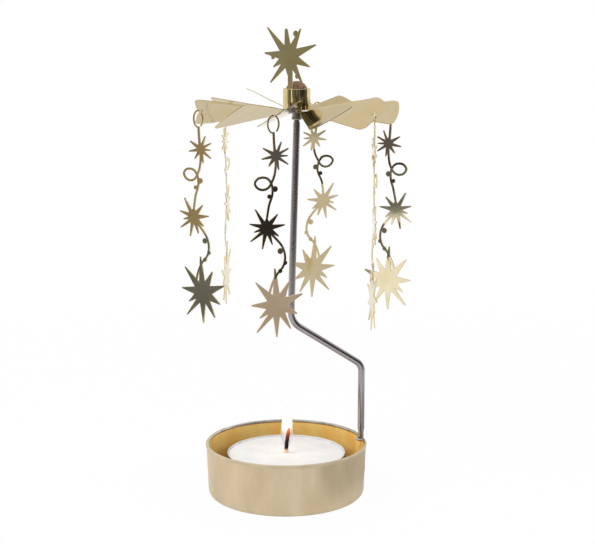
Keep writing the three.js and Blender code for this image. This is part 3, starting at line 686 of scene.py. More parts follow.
def wickFinish(foot, tip):
    # Cotton that is soaked at its foot, where a peach tone and a painted glow stand in for the flame's light,
    # charred above, and glows at its tip.
    look = wickLook
    material, tree = newMaterial("charred_wick")
    share = heightShare(tree, foot, tip)
    place = shade(tree, "TexCoord", {}, "Object")
    fibre = noiseOf(tree, place, look["fibreScale"], look["fibreDetail"])
    surfaceOf(tree, "BsdfPrincipled", {
        "Base Color": shadeRamp(tree, share, [(at, shadeOf(*tone)) for at, tone in look["tones"]]),
        "Roughness": look["roughness"], "Emission Color": shadeRamp(tree, share, look["glow"]),
        "Emission Strength": look["glowStrength"],
        "Normal": bumpOf(tree, fibre, look["fibreStrength"], look["fibreDepth"])})
    return material


def wickCurve(foot, top, lean, level, steps):
    # Upright below the wax, then a cubic curve that leans outwards towards the tip.
    low = wickLook["lowSteps"]
    below = withHeight(np.zeros((low, 2)), np.linspace(foot, level, low + 1)[:-1])
    rise = top - level
    t = np.linspace(0, 1, steps)[:, None]
    a, b = np.array([0, 0, level]), np.array([0, 0, level + rise / 3])
    c, d = np.array([lean / 2, 0, top - rise / 4]), np.array([lean, 0, top])
    bend = a * (1 - t)**3 + 3 * b * t * (1 - t)**2 + 3 * c * t**2 * (1 - t) + d * t**3
    return np.concatenate([below, bend])


def makeWick():
    # Twisted cotton: radius r + d * |cos| of the strand angle, which turns with the height.
    look = wickLook
    wickLow, wickHigh = boxOf("wick")
    tip = wickHigh[2] + look["extra"]
    path = wickCurve(wickLow[2], tip - look["tipGap"], look["lean"], waxHigh[2], look["steps"])
    turn = look["twist"] * path[:, 2:]
    strand = np.abs(np.cos(look["strands"] / 2 * (fullTurn(look["sides"]) - turn)))
    taper = 1 - look["thinned"] * smoothStep(np.linspace(0, 1, len(path)), look["thinFrom"], 1.0)
    radii = (look["radius"] - look["strandDepth"] * (1 - strand)) * taper[:, None]
    braid = Shells()
    braid.grid(capped(tubeAlong(path, radii, look["sides"]), path[0], path[-1] + look["endStep"]))
    braid.piece("cotton_wick", "candle", "wick", [wickFinish(waxHigh[2], tip)], ["wick"])


# Half widths of the flame and, for its veil and its core, colours and cover, all from foot (0) to tip (1).
flameLook = {
    "widths": [(0.0, 0.0), (0.03, 0.45), (0.07, 0.75), (0.2, 1.46), (0.35, 1.9), (0.5, 1.97), (0.7, 1.7),
               (0.83, 1.28), (0.93, 0.86), (0.975, 0.52), (1.0, 0.0)],
    "lean": 0.3, "startX": 0.1, "rows": 70, "columns": 48, "widthSteps": 8,
    "veil": {"foot": 14.0, "tip": 28.75, "share": 1.0, "tint": (0.94, 0.95, 0.98), "strength": 1.0,
             "frontShare": 0.02, "cover": [(0.0, 0.12), (0.2, 0.3), (0.45, 0.6), (0.75, 0.75), (1.0, 0.45)],
             "colours": [(0.0, (0.5, 0.5, 0.7)), (0.2, (0.72, 0.66, 0.7)), (0.4, (1.0, 0.8, 0.55)),
                         (0.7, (1.0, 0.9, 0.55)), (1.0, (1.0, 0.95, 0.5))]},
    "core": {"foot": 17.4, "tip": 28.4, "share": 0.8, "tint": (1.0, 1.0, 1.0), "strength": 1.4,
             "frontShare": 0.015, "cover": [(0.0, 0.0), (0.2, 0.5), (0.4, 0.95), (1.0, 0.97)],
             "colours": [(0.0, (1.0, 0.75, 0.5)), (0.3, (1.0, 0.96, 0.88)), (1.0, (1.0, 1.0, 0.94))]},
}


def flameFinish(name, look):
    # Glowing gas: light and cover both follow the height, and what is behind is tinted. The front
    # skin covers only a small share of what the back skin does, so that the drop counts once.
    material, tree = newMaterial(name)
    share = heightShare(tree, look["foot"], look["tip"])
    colour = shadeRamp(tree, share, look["colours"])
    behind = shade(tree, "NewGeometry", {}, "Backfacing")
    depth = mapped(tree, behind, look["frontShare"], 1.0)
    cover = shade(tree, "Math", {0: shadeRamp(tree, share, look["cover"]), 1: depth}, operation="MULTIPLY")
    glow = shade(tree, "Emission", {"Color": colour, "Strength": look["strength"]})
    clear = shade(tree, "BsdfTransparent", {"Color": (*look["tint"], 1.0)})
    surfaceOf(tree, "MixShader", {0: cover, 1: clear, 2: glow})
    return material


def flameGrid(part):
    # Drop of revolution: its radius follows the widths above as a smooth curve, and its middle leans.
    look = flameLook
    t = (1 - np.cos(np.linspace(0, math.pi, look["rows"]))) / 2
    r = np.maximum(np.interp(t, *splineThrough(look["widths"], look["widthSteps"]).T), 0) * part["share"]
    r[[0, -1]] = 0
    z = part["foot"] + (part["tip"] - part["foot"]) * t
    grid = turnedGrid(np.stack([r, z], -1), look["columns"])
    grid[..., 0] += (look["startX"] + look["lean"] * np.sin(t * math.pi / 2)**2)[:, None]
    return grid


def makeFlame():
    # Veil and core glow themselves, and cast no shadow and no reflection.
    for name in ("veil", "core"):
        part = flameLook[name]
        drop = Shells()
        drop.grid(flameGrid(part))
        gas = drop.piece("flame_" + name, "candle", "flame", [flameFinish("flame_" + name, part)], crease=180)
        gas.visible_shadow = gas.visible_glossy = gas.visible_diffuse = False


makeTealight()
makeWax()
makeWick()
makeFlame()
print("candle made")


def insetLoop(loop, distance):
    # Loop of points moved inwards by a distance, square to the middle of the two edges at each point.
    before = unit(loop - np.roll(loop, 1, axis=0))
    after = unit(np.roll(loop, -1, axis=0) - loop)
    normal = unit(leftOf(before + after))
    cosine = np.maximum((normal * leftOf(before)).sum(-1, keepdims=True), 0.5)
    return loop + normal * distance / cosine


def plateGrid(outline, centre, sheet, edge, rings, hole=0.0):
    # Flat plate: rays run from the centre, or from a round hole, to an anticlockwise outline. The grid
    # goes in over the lower face, round the softened edge and back over the upper face.
    half = sheet / 2
    away = unit(outline - np.asarray(centre))
    middle = np.asarray(centre) + away * hole
    inner = middle + away * (edge if hole else 0)
    flat = np.linspace(inner, insetLoop(outline, edge), rings + 1)
    rows = [(loop, -half) for loop in flat] + [(outline, edge - half), (outline, half - edge)]
    rows += [(loop, half) for loop in flat[::-1]]
    if hole:
        rows += [(middle, half - edge), (middle, edge - half)]
    return np.stack([withHeight(loop, height) for loop, height in rows])


def ribbonGrid(path, width, sheet, edge, lift=0.0):
    # Flat ribbon: a softened rectangle carried along a plane path and closed at both ends. The lift
    # raises it very slightly along its way, so that it can cross itself.
    side = leftOf(unit(np.gradient(path, axis=0))) * width / 2
    thick, inner = sheet / 2, 1 - 2 * edge / width
    section = [(1, edge - thick), (1, thick - edge), (inner, thick), (-inner, thick),
               (-1, thick - edge), (-1, edge - thick), (-inner, -thick), (inner, -thick)]
    raised = np.linspace(0, lift, len(path))
    grid = np.stack([withHeight(path + side * share, height + raised) for share, height in section], 1)
    return capped(grid, grid[0].mean(0), grid[-1].mean(0))


def addCut(shells, grid, points, sheet):
    # Adds a flat grid that has been put in place as points. Faces that span more than half of the
    # sheet's thickness are its cut edge, and get the second finish.
    cells = gridFaces(*grid.shape[:2])
    shells.add(points, cells, np.ptp(grid[..., 2].reshape(-1)[cells], axis=1) > sheet / 2)


def aboutAxis(x, y, z, degrees):
    # Points (x, y, z) turned about the rotor's axis.
    turn = math.radians(degrees)
    return np.stack([axisX + x * math.cos(turn) - y * math.sin(turn),
                     axisY + x * math.sin(turn) + y * math.cos(turn), z], -1)


# The lists bent and lifted give each blade its own pitch and rise, in degrees. A wave is its strength
# and its turns per millimetre along and across the blade.
bladeLook = {
    "count": 12, "pitch": 27.0, "first": 20.0, "radius": 31.65, "sheet": 0.24, "edge": 0.06, "slit": 0.5,
    "middleDrop": 0.5, "bent": (-2, -2, 0, -2, 0, 1, 2, 4, 4, 0, 3, -3),
    "lifted": (0, 0, 0, 5.8, 0, 0, 0, 0, 2.5, 0, 0, 0),
    "corner": 1.9, "neckWidth": 1.9, "shoulder": 8.0, "shoulderLead": (0.9, 0.24), "throat": 6.6,
    "throatExtra": 0.25, "root": 4.6, "disc": 5.4, "bore": 1.8, "tipSteps": 18, "cornerSteps": 10,
    "sideSteps": 26, "throatSteps": 6, "discColumns": 96,
    "discRound": 0.05, "discInset": 0.004, "holeRadius": 1.15, "holeReach": 29.9, "plainReach": 0.6,
    "twistFrom": 4.9, "twistTo": 8.4, "rings": 22, "waveHeight": 0.07, "waveRise": (8.0, 14.0),
    "waveFade": (26.0, 29.0), "waves": [(1, 0.21, 0.12), (0.6, -0.1, 0.36), (0.35, 0.4, 0.3)],
}


def bladeOutline():
    # Half outline in polar form from the tip's middle: rim arc, round corner, straight side, shoulder,
    # neck; then mirrored.
    look = bladeLook
    half = math.pi / look["count"]
    slit, radius, corner, neck = look["slit"] / 2, look["radius"], look["corner"], look["neckWidth"] / 2
    inset = corner / radius
    cornerFrom = half - slit / radius - inset
    t = np.radians(np.linspace(0, 90, look["cornerSteps"] + 1))[1:]
    turn = circle(cornerFrom + inset * np.sin(t), (radius - corner + corner * np.cos(t))[:, None])
    shoulder = np.array([look["shoulder"], look["shoulder"] * math.tan(half) - slit])
    into = splineThrough([shoulder + look["shoulderLead"], shoulder,
                          (look["throat"], neck + look["throatExtra"]), (look["disc"], neck),
                          (look["root"], neck)], look["throatSteps"])[look["throatSteps"]:]
    upper = np.concatenate([circle(np.linspace(0, cornerFrom, look["tipSteps"]), radius), turn,
                            np.linspace(turn[-1], shoulder, look["sideSteps"])[1:-1], into])
    return np.concatenate([upper, [(look["root"], 0.0)], (upper * (1, -1))[:0:-1]])


def makeRotor():
    # Every blade is flat and twists out of the hub: the pitch grows smoothly with the reach, and a few
    # slow waves lift the sheet by about a tenth of a millimetre.
    look = bladeLook
    height = hubSeat - look["middleDrop"]
    outline = bladeOutline()
    chance = np.random.default_rng(7)
    shells = Shells()
    for index in range(look["count"]):
        holed = index % 2 == 0
        reach = look["holeReach"] if holed else look["radius"] * look["plainReach"]
        grid = plateGrid(outline, (reach, 0), look["sheet"], look["edge"], look["rings"],
                         look["holeRadius"] if holed else 0.0)
        x, y, h = np.moveaxis(grid, -1, 0)
        # Four draws for each blade, of which the waves take three.
        waves = [(*wave, phase) for wave, phase in zip(look["waves"], chance.uniform(0, 2 * math.pi, 4))]
        lift = look["waveHeight"] * slowWaves(x, y, waves)
        h = h + lift * smoothStep(x, *look["waveRise"]) * (1 - smoothStep(x, *look["waveFade"]))
        pitch = math.radians(look["pitch"] + look["bent"][index])
        pitch = pitch * smoothStep(x, look["twistFrom"], look["twistTo"])
        across = y * np.cos(pitch) - h * np.sin(pitch)
        rise = y * np.sin(pitch) + h * np.cos(pitch)
        rise = rise + (x - look["twistFrom"]).clip(0) * math.tan(math.radians(look["lifted"][index]))
        points = aboutAxis(x, across, height + rise, look["first"] + index * 360 / look["count"])
        shells.grid(points, wrapRows=holed)
    disc, bore, soft = look["disc"], look["bore"], look["discRound"]
    thin = look["sheet"] / 2 - look["discInset"]
    ring = [(bore, -thin), (disc - soft, -thin), (disc, soft - thin), (disc, thin - soft),
            (disc - soft, thin), (bore, thin)]
    shells.grid(turnedGrid(ring, look["discColumns"]) + rotorAxis + height * upwards, wrapRows=True)
    shells.piece("rotor_sheet", "rotor", "brass_sheet", ["brassSheet"], ["rotor_blades"], crease=30)


hubLook = {
    "thimbleRadius": 3.4, "shoulder": 5.8, "neckRadius": 1.5, "boreRadius": 1.25, "lipRadius": 1.65,
    "lipHeight": 0.8, "lipRound": 0.6, "lipSoft": 0.15, "lipStep": 0.05, "crown": 1.4, "cone": 1.5,
    "collarWall": 0.4, "collarFlat": 0.02, "seatMargin": 0.01, "lipSteps": 10, "domeSteps": 21,
    "footSteps": 4, "headSteps": 6, "columns": 128,
}


def makeHub():
    # Thimble and collar as surfaces of revolution about the rotor's axis.
    look = hubLook
    radius, neck, bore = look["thimbleRadius"], look["neckRadius"], look["boreRadius"]
    soft = look["lipSoft"]
    lip, top = thimbleLow[2], thimbleHigh[2]
    domeBase = hubSeat + look["shoulder"]
    lipHalf = look["lipHeight"] / 2
    lipReach = lipHalf * look["lipRound"]
    upper = np.concatenate([
        [(bore, lip + soft)],
        arcPoints((look["lipRadius"] - lipReach, lip + lipHalf), (lipReach, lipHalf), -90, 90,
                  look["lipSteps"]),
        [(neck, lip + look["lipHeight"] + look["lipStep"]), (neck, hubSeat), (radius - soft, hubSeat),
         (radius, hubSeat + soft)],
        arcPoints((0, domeBase), (radius, top - domeBase), 0, 90, look["domeSteps"]), [(0, top)]])
    inside = [(0, top - look["crown"]), (bore, top - look["crown"] - look["cone"]), (bore, lip + soft)]
    steel = np.repeat(upper[:-1, 1] < hubSeat - look["seatMargin"], look["columns"])
    cap = Shells()
    cap.grid(turnedGrid(upper, look["columns"]) + rotorAxis, finish=steel)
    cap.grid(turnedGrid(inside, look["columns"]) + rotorAxis, finish=1)
    cap.piece("thimble_cap", "rotor", "polished_brass", ["darkenedThimbleBrass", "lipSteel"], ["bearing_thimble"])

    low, high = boxOf("hub_collar")
    outer = (high[0] - low[0]) / 2
    soft = look["collarWall"] / 2 - look["collarFlat"]
    out, into = outer - soft, outer - look["collarWall"] + soft
    foot, head = low[2] + soft, high[2] - soft
    few, many = look["footSteps"], look["headSteps"]
    ring = np.concatenate([
        arcPoints((out, foot), soft, -90, 0, few), arcPoints((out, head), soft, 0, 90, many),
        arcPoints((into, head), soft, 90, 180, many), arcPoints((into, foot), soft, 180, 270, few)])
    collar = Shells()
    collar.grid(turnedGrid(ring, look["columns"]) + rotorAxis, wrapRows=True)
    collar.piece("hub_ring", "rotor", "polished_brass", ["polishedBrass"], ["hub_collar"])


makeRotor()
makeHub()
print("rotor made")


def starOutline(body, reach, tipWidth, tips, steps, blunt=()):
    # Spiky star about the origin: valley, tip, valley ... anticlockwise, each tip a small arc and each
    # flank cut into short steps. Tips are (angle, share of the reach); a blunt tip has its own width.
    angles, shares = np.array(sorted(tips), float).T
    before = np.concatenate([[angles[-1] - 360], angles[:-1]])
    low = circle(np.radians((angles + before) / 2), body)
    outward = circle(np.radians(angles))[:, None]
    a = np.radians(np.linspace(-90, 90, 7))[None, :, None]
    tipRadii = np.array([dict(blunt).get(angle, tipWidth) for angle in angles])[:, None, None] / 2
    nib = outward * (shares[:, None, None] * reach - tipRadii)
    nib = nib + tipRadii * (outward * np.cos(a) + leftOf(outward) * np.sin(a))
    t = (np.arange(steps) / steps)[None, :, None]
    up = low[:, None] + (nib[:, :1] - low[:, None]) * t
    down = nib[:, -1:] + (np.roll(low, -1, axis=0)[:, None] - nib[:, -1:]) * t
    return np.concatenate([up, nib, down[:, 1:]], 1).reshape(-1, 2)


def berryGrids(berries, scale, thinner, look):
    # Small round plates: each is (place as a share of the scale, radius).
    grids = []
    for share, radius in berries:
        middle = np.array(share) * scale
        outline = arcPoints(middle, radius, 0, 360, look["berrySteps"])[:-1]
        grids.append(plateGrid(outline, middle, look["sheet"] - thinner, look["edge"], 1))
    return grids


# Places are shares of the width and of the drop, measured from the hook's middle, which lies rise under
# the joint. The whole is turned by hang degrees in its own plane. Ribbons and plates that cross differ
# a little in thickness, so that no two faces lie in one plane.
pendantLook = {
    "drop": 63.2, "width": 17.0, "sheet": 0.4, "edge": 0.04, "tipWidth": 0.45, "hang": 0.6627, "rise": 0.9613,
    "hookWidth": 4.0, "hookHeight": 5.6, "hookStroke": 0.5, "gap": 55.8, "stem": 0.8, "vine": 0.75,
    "loopLift": 0.012, "hookSteps": 59, "stemSteps": 8, "vineSteps": 10, "flankSteps": 4, "starRings": 3,
    "berrySteps": 28, "depthSteps": 400,
    "thinner": {"hook": 0.004, "stem": 0.012, "upperVine": 0.03, "lowerVine": 0.016, "berries": 0.008},
    "stars": {
        "small": {"at": (0.053, -0.145), "body": 1.55, "reach": 4.8, "tips": [
            (-169, 0.97), (-127, 0.8), (-77, 0.9), (-33, 1), (-1, 0.8), (27, 0.95), (67, 0.93), (100, 0.6),
            (151, 1)]},
        "middle": {"at": (-0.112, -0.478), "body": 2.15, "reach": 6.8, "tips": [
            (-166, 0.61), (-144, 0.93), (-102, 0.93), (-69, 0.79), (-33, 0.7), (7, 0.88), (48, 0.79),
            (90, 0.45), (123, 1), (165, 0.83)]},
        "large": {"at": (0.1, -0.846), "body": 3.6, "reach": 11.3, "tips": [
            (-148, 0.58), (-129, 0.89), (-89, 0.86), (-58, 0.78), (-24, 0.65), (20, 0.78), (62, 0.7),
            (95, 1), (134, 0.91), (176, 0.74)]},
    },
    "stemPath": [(0.006, -0.036), (0.012, -0.07), (0.03, -0.13)],
    "upperVine": [
        (0.053, -0.155), (0.05, -0.197), (0.028, -0.236), (-0.03, -0.272), (-0.095, -0.293), (-0.186, -0.3),
        (-0.28, -0.292), (-0.335, -0.27), (-0.285, -0.249), (-0.186, -0.243), (-0.095, -0.25),
        (-0.03, -0.272), (-0.006, -0.297), (-0.012, -0.33), (-0.07, -0.376), (-0.12, -0.457)],
    "lowerVine": [
        (-0.09, -0.488), (0.015, -0.516), (0.176, -0.564), (0.238, -0.613), (0.206, -0.659), (0.088, -0.697),
        (0.0, -0.74), (-0.047, -0.79), (-0.02, -0.83)],
    "berries": [((0.042, -0.298), 0.9), ((0.148, -0.589), 0.9), ((-0.065, -0.332), 0.68),
                ((0.241, -0.645), 0.68), ((0.147, -0.682), 0.68)],
    "stations": (0.0, 0.07, 0.21, 0.26, 0.32, 0.38, 0.56, 0.72, 1.0),
}

# Slight bends of each pendant: tilt forwards or back and turn about the upright line of its small,
# middle and large star, in degrees. The loop may have a tilt of its own, and back is the share of the
# drift that the vine above the middle and above the large star takes back.
pendantBends = {
    1: {"back": (1.0, 0.5), "tilt": (0.0, 4.1, 3.0), "turn": (3.0, 3.0, 3.0)},
    2: {"loop": 3.3, "back": (1.0, 0.0), "tilt": (6.0, 4.6, 2.0), "turn": (0.0, 0.0, 0.0)},
    3: {"tilt": (0.5, -1.0, 1.0), "turn": (-6.0, -2.0, -3.0)},
    4: {"tilt": (0.0, 0.5, 0.0), "turn": (0.0, -0.5, 0.0)},
    5: {"tilt": (0.0, 0.0, -2.5), "turn": (0.0, 0.0, 0.0)},
    6: {"tilt": (0.5, 1.0, -1.0), "turn": (11.0, 8.0, 11.0)},
}


def pendantGrids():
    # The flat pendant as grids of (x, z, height out of its plane).
    look = pendantLook
    sheet, edge, thinner = look["sheet"], look["edge"], look["thinner"]
    scale = np.array([look["width"], look["drop"]])
    hookRadii = (np.array([look["hookWidth"], look["hookHeight"]]) - look["hookStroke"]) / 2
    hook = arcPoints((0, 0), hookRadii, -look["gap"], 270, look["hookSteps"])
    grids = [ribbonGrid(hook, look["hookStroke"], sheet - thinner["hook"], edge)]
    stem = splineThrough(np.array(look["stemPath"]) * scale, look["stemSteps"])
    grids.append(ribbonGrid(stem, look["stem"], sheet - thinner["stem"], edge))
    for vine, lift in (("upperVine", look["loopLift"]), ("lowerVine", 0.0)):
        path = splineThrough(np.array(look[vine]) * scale, look["vineSteps"])
        grids.append(ribbonGrid(path, look["vine"], sheet - thinner[vine], edge, lift))
    for star in look["stars"].values():
        outline = starOutline(star["body"], star["reach"], look["tipWidth"], star["tips"], look["flankSteps"])
        middle = np.array(star["at"]) * scale
        grids.append(plateGrid(outline + middle, middle, sheet, edge, look["starRings"]))
    return grids + berryGrids(look["berries"], scale, thinner["berries"], look)


def bentOut(x, z, bends):
    # Height out of the plane: the integral of a slope that is each star's tilt, less a drift that the
    # vines between the stars take back, plus x * tan(turn) about the star's upright line.
    drop = pendantLook["drop"]
    stations = np.array(pendantLook["stations"]) * drop
    # Which bend holds at each station: 0 none, 1 to 3 the stars', 4 the loop's between two of them.
    holds = [0, 1, 1, 4, 4, 2, 2, 3, 3]
    tilt, turn = bends["tilt"], bends["turn"]
    slopes = np.tan(np.radians([0.0, *tilt, bends.get("loop", (tilt[0] + tilt[1]) / 2)]))[holds]
    turns = np.tan(np.radians([0.0, *turn, (turn[0] + turn[1]) / 2]))[holds]
    depth = np.linspace(0, drop, pendantLook["depthSteps"])
    slope = np.interp(depth, stations, slopes)
    out = -np.concatenate([[0], np.cumsum((slope[1:] + slope[:-1]) / 2 * np.diff(depth))])
    second, third = [np.interp(-star["at"][1] * drop, depth, out)
                     for star in list(pendantLook["stars"].values())[1:]]
    upperBack, lowerBack = bends.get("back", (1.0, 1.0))
    second = upperBack * second
    third = second + lowerBack * (third - second)
    drift = [0, 0, 0, second / 2, second / 2, second, second, third, third]
    bend = np.interp(-z, depth, out) - np.interp(-z, stations, drift)
    return bend + np.interp(-z, stations, turns) * x


def makePendants():
    # Each pendant hangs in its own plane from its swing joint: x along the plane, z up, and the
    # joint's axis is square to the sheet.
    look = pendantLook
    grids = pendantGrids()
    hang = math.radians(look["hang"])
    for number, bends in pendantBends.items():
        joint = jointAt[f"charm_{number}_swing"]
        normal = np.array(joint["axis"], float)
        along = np.cross(upwards, normal)
        shells = Shells()
        for grid in grids:
            x, z, h = np.moveaxis(grid, -1, 0)
            h = h + bentOut(x, z, bends)
            z = z - look["rise"]
            turned = x * math.cos(hang) + z * math.sin(hang)
            lowered = z * math.cos(hang) - x * math.sin(hang)
            points = np.array(joint["pos_m"]) / mm + turned[..., None] * along - h[..., None] * normal
            addCut(shells, grid, points + lowered[..., None] * upwards, look["sheet"])
        shells.piece(f"pendant_{number}", f"charm_{number}", "brass_sheet", ["pendantSheet", "cutBrass"],
                     [f"charm_{number}"], crease=30)


topStarLook = {
    "reach": 11.8, "body": 3.7, "rise": 16.3, "turn": -34.0, "stemWidth": 1.7, "stemOffset": 0.6,
    "sheet": 0.3, "edge": 0.03, "tipWidth": 0.45, "seat": 3.5, "flankSteps": 4, "stemSteps": 12,
    "starRings": 3, "berrySteps": 28,
    "thinner": {"stem": 0.016, "berries": 0.008},
    "tips": [(-150, 0.56), (-130, 0.9), (-88, 0.6), (-58, 0.83), (-21, 0.71), (20, 0.91), (62, 0.81),
             (96, 0.72), (132, 1), (174, 0.77)],
    "blunt": [(96, 1.1)],
    "berries": [((0.225, 0.585), 0.95), ((-0.49, -0.025), 0.7), ((0.262, -0.508), 0.7)],
}


def makeTopStar():
    # Flat star whose stem stands between the thimble and the collar.
    look = topStarLook
    outline = starOutline(look["body"], look["reach"], look["tipWidth"], look["tips"], look["flankSteps"],
                          look["blunt"])
    grids = [plateGrid(outline, (0, 0), look["sheet"], look["edge"], look["starRings"])]
    grids += berryGrids(look["berries"], look["reach"], look["thinner"]["berries"], look)
    stem = np.linspace((look["stemOffset"], 0), (look["stemOffset"], -look["rise"]), look["stemSteps"])
    grids.append(ribbonGrid(stem, look["stemWidth"], look["sheet"] - look["thinner"]["stem"], look["edge"]))
    shells = Shells()
    for grid in grids:
        x, z, h = np.moveaxis(grid, -1, 0)
        x, z = x - look["stemOffset"], hubSeat + look["rise"] + z
        addCut(shells, grid, aboutAxis(x, -h - look["seat"], z, look["turn"]), look["sheet"])
    shells.piece("crown_star", "rotor", "brass_sheet", ["pendantSheet", "cutBrass"], ["top_star"], crease=30)


makePendants()
makeTopStar()
print("pendants and star made")

# The sustainer takes the tin's grey-blue aluminium, whose tone is painted shade.
frame["nodes"]["wick_sustainer"].data.materials.clear()
frame["nodes"]["wick_sustainer"].data.materials.append(metals["aluminium"])


# The studio's sizes and places are metres. An upright card is (from, to, low, high, tone) and stands at
# the card radius between two angles; a ground card is (from, to, near, far, tone) and lies on the floor.
studioLook = {
    "floorRadius": 2.4, "floorRings": (0, 0.125, 0.5, 1), "floorColumns": 96, "fadeFrom": 0.16,
    "fadeTo": 0.45, "floorTone": (244, 244, 244),
    "seenWhite": 0.96, "mirroredWhite": 0.5, "worldStrength": 0.58, "aim": (0.0, 0.0, 0.07),
    "lamps": {
        "left_soft_box": {"at": (-0.55, -0.35, 0.55), "size": 0.5, "power": 3.8, "colour": (1.0, 0.98, 0.95)},
        "overhead_soft_box": {"at": (0.1, 0.25, 0.8), "size": 0.6, "power": 0.5, "colour": (1.0, 1.0, 1.0)},
        "right_fill": {"at": (0.6, -0.2, 0.35), "size": 0.4, "power": 1.2, "colour": (0.98, 0.98, 1.0)},
        "flame_light": {"at": (0.0004, 0.0, 0.0225), "radius": 0.002, "power": 0.0011,
                        "colour": (1.0, 0.84, 0.62)},
    },
    "cardRadius": 0.62, "cardStep": 2.0, "cardLift": 0.0006,
    "cards": [
        (188, 210, 0.0, 0.1, (0.34, 0.28, 0.185)), (188, 210, 0.1, 0.5, (0.27, 0.25, 0.18)),
        (210, 222, 0.0, 0.04, (0.03, 0.03, 0.035)), (210, 222, 0.04, 0.1, (0.12, 0.11, 0.13)),
        (210, 222, 0.1, 0.5, (0.04, 0.04, 0.04)), (232, 244, 0.0, 0.5, (0.13, 0.125, 0.12)),
        (244, 250, 0.0, 0.5, (0.2, 0.19, 0.15)), (250, 268, 0.0, 0.5, (0.1, 0.1, 0.095)),
        (268, 273, 0.0, 0.5, (0.3, 0.28, 0.2)), (273, 290, 0.0, 0.5, (0.1, 0.1, 0.09)),
        (290, 297, 0.0, 0.5, (0.22, 0.2, 0.15)), (297, 340, 0.0, 0.035, (0.028, 0.028, 0.034)),
        (297, 340, 0.035, 0.1, (0.11, 0.105, 0.12)), (297, 340, 0.1, 0.5, (0.04, 0.04, 0.045)),
        (340, 366, 0.0, 0.5, (0.12, 0.12, 0.1)), (60, 140, 0.2, 0.6, (0.8, 0.75, 0.62))],
    # The two nearest ground cards are painted light on the floor, seen only in reflections: the grey one
    # right of the cup is a painted shadow, the bright one at its left a painted pool of lamp light.
    "groundCards": [
        (194, 222, 0.295, 0.62, (0.15, 0.155, 0.16)), (236, 304, 0.3, 0.62, (0.04, 0.04, 0.04)),
        (304, 325, 0.16, 0.4, (0.48, 0.41, 0.4)), (325, 344, 0.2, 0.4, (0.66, 0.61, 0.55)),
        (304, 344, 0.4, 0.5, (0.12, 0.14, 0.12)), (304, 344, 0.5, 0.62, (0.03, 0.03, 0.034)),
        (344, 366, 0.3, 0.62, (0.1, 0.1, 0.1)), (-50, 40, 0.034, 0.11, (0.58, 0.56, 0.52)),
        (150, 225, 0.04, 0.11, (1.02, 0.95, 0.92))],
}


def stageMesh(name, points, material, wrapColumns):
    # A grid of points, in metres, that belongs to the studio.
    mesh = bpy.data.meshes.new(name)
    faces = gridFaces(*points.shape[:2], wrapColumns=wrapColumns)
    mesh.from_pydata(points.reshape(-1, 3).tolist(), [], faces.tolist())
    mesh.validate()
    mesh.materials.append(material)
    made = placed(name, mesh)
    return made


def raysOf(tree):
    # 1 on the camera's own rays, and 1 on these and on the rays that metal and glass send on.
    path = addNode(tree, "LightPath", {}).outputs
    seen = shade(tree, "Math", {0: path["Is Camera Ray"], 1: path["Is Glossy Ray"]}, operation="MAXIMUM")
    return path["Is Camera Ray"], shade(tree, "Math", {0: seen, 1: path["Is Transmission Ray"]},
                                        operation="MAXIMUM")


def makeFloor():
    # Pale round floor: lit and shadowed near the object, and fading to plain white further out.
    look = studioLook
    material, tree = newMaterial("pale_floor")
    away = shade(tree, "VectorMath", {0: shade(tree, "TexCoord", {}, "Object")}, "Value", operation="LENGTH")
    fade = mapped(tree, away, 0.0, 1.0, look["fadeFrom"], look["fadeTo"], interpolation_type="SMOOTHSTEP")
    direct, seen = raysOf(tree)
    near = mapped(tree, direct, look["mirroredWhite"], look["seenWhite"])
    share = shade(tree, "Math", {0: seen, 1: mapped(tree, fade, near, 1.0)}, operation="MULTIPLY")
    matte = shade(tree, "BsdfDiffuse", {"Color": (*shadeOf(*look["floorTone"]), 1.0)})
    white = shade(tree, "Emission", {"Color": (1, 1, 1, 1), "Strength": 1.0})
    surfaceOf(tree, "MixShader", {0: share, 1: matte, 2: white})
    rings = [(look["floorRadius"] * reach, 0) for reach in look["floorRings"]]
    stageMesh("floor", turnedGrid(rings, look["floorColumns"]), material, True)


def addCard(name, rows, tone):
    # One plain card. Only the metal's reflections see it.
    material, tree = newMaterial(name)
    surfaceOf(tree, "Emission", {"Color": (*tone, 1.0), "Strength": 1.0})
    card = stageMesh(name, rows, material, False)
    card.visible_camera = card.visible_diffuse = card.visible_shadow = card.visible_transmission = False


def ringPart(start, end, radius, height):
    # Part of a level circle about the object, from one angle to another in degrees.
    steps = int((end - start) / studioLook["cardStep"]) + 1
    return withHeight(arcPoints((0, 0), radius, start, end, steps), height)


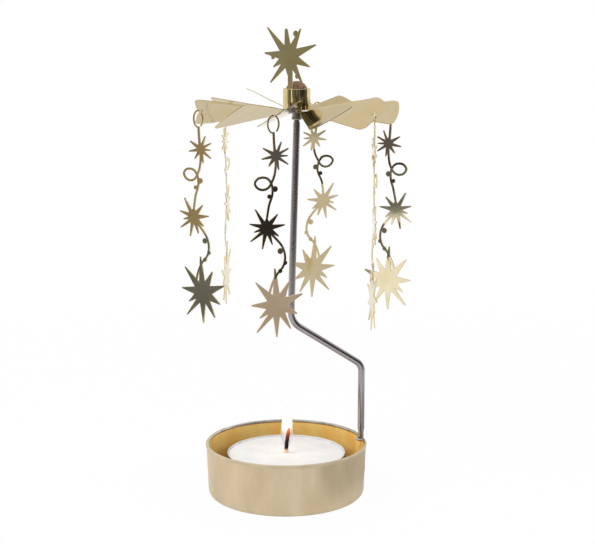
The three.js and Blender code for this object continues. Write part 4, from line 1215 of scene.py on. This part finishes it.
def makeCards():
    # Upright cards round the object, each a part of a cylinder, and flat ones on the floor.
    look = studioLook
    for number, (start, end, low, high, tone) in enumerate(look["cards"], 1):
        rows = np.stack([ringPart(start, end, look["cardRadius"], z) for z in (low, high)])
        addCard(f"upright_card_{number}", rows, tone)
    for number, (start, end, near, far, tone) in enumerate(look["groundCards"], 1):
        rows = np.stack([ringPart(start, end, radius, look["cardLift"]) for radius in (near, far)])
        addCard(f"floor_card_{number}", rows, tone)


def makeWorld():
    # Even white surroundings: full white where seen or reflected, softer as light on the object.
    world = bpy.data.worlds.new("studio")
    world.use_nodes = True
    tree = world.node_tree
    tree.nodes.clear()
    level = mapped(tree, raysOf(tree)[1], studioLook["worldStrength"], 1.0)
    back = shade(tree, "Background", {"Color": (1, 1, 1, 1), "Strength": level})
    addNode(tree, "OutputWorld", {"Surface": back})
    bpy.context.scene.world = world


def makeLamps():
    # Round soft boxes that face the object, and a point of light in the flame.
    for name, lamp in studioLook["lamps"].items():
        data = bpy.data.lights.new(name, "AREA" if "size" in lamp else "POINT")
        data.energy = lamp["power"]
        data.color = lamp["colour"]
        holder = placed(name, data)
        holder.visible_glossy = False
        holder.location = lamp["at"]
        if "size" in lamp:
            data.shape = "DISK"
            data.size = lamp["size"]
            aim = Vector(studioLook["aim"]) - Vector(lamp["at"])
            holder.rotation_euler = aim.to_track_quat("-Z", "Y").to_euler()
        else:
            data.shadow_soft_size = lamp["radius"]


cameraLook = {
    "at": (3.647, -444.98, 153.03), "downwards": 10.259, "lens": 86.66, "sensor": 36.0, "nearest": 10.0,
}


def makeCamera():
    # Camera in front of the object, turned down by an angle in degrees and not sideways.
    look = cameraLook
    data = bpy.data.cameras.new("camera")
    data.lens = look["lens"]
    data.sensor_width = look["sensor"]
    data.clip_start = look["nearest"] * mm
    camera = placed("camera", data)
    camera.location = Vector(look["at"]) * mm
    camera.rotation_euler = (math.radians(90 - look["downwards"]), 0, 0)
    bpy.context.scene.camera = camera
    bpy.context.scene.view_settings.view_transform = "Standard"


makeFloor()
makeCards()
makeWorld()
makeLamps()
makeCamera()
print("studio ready")
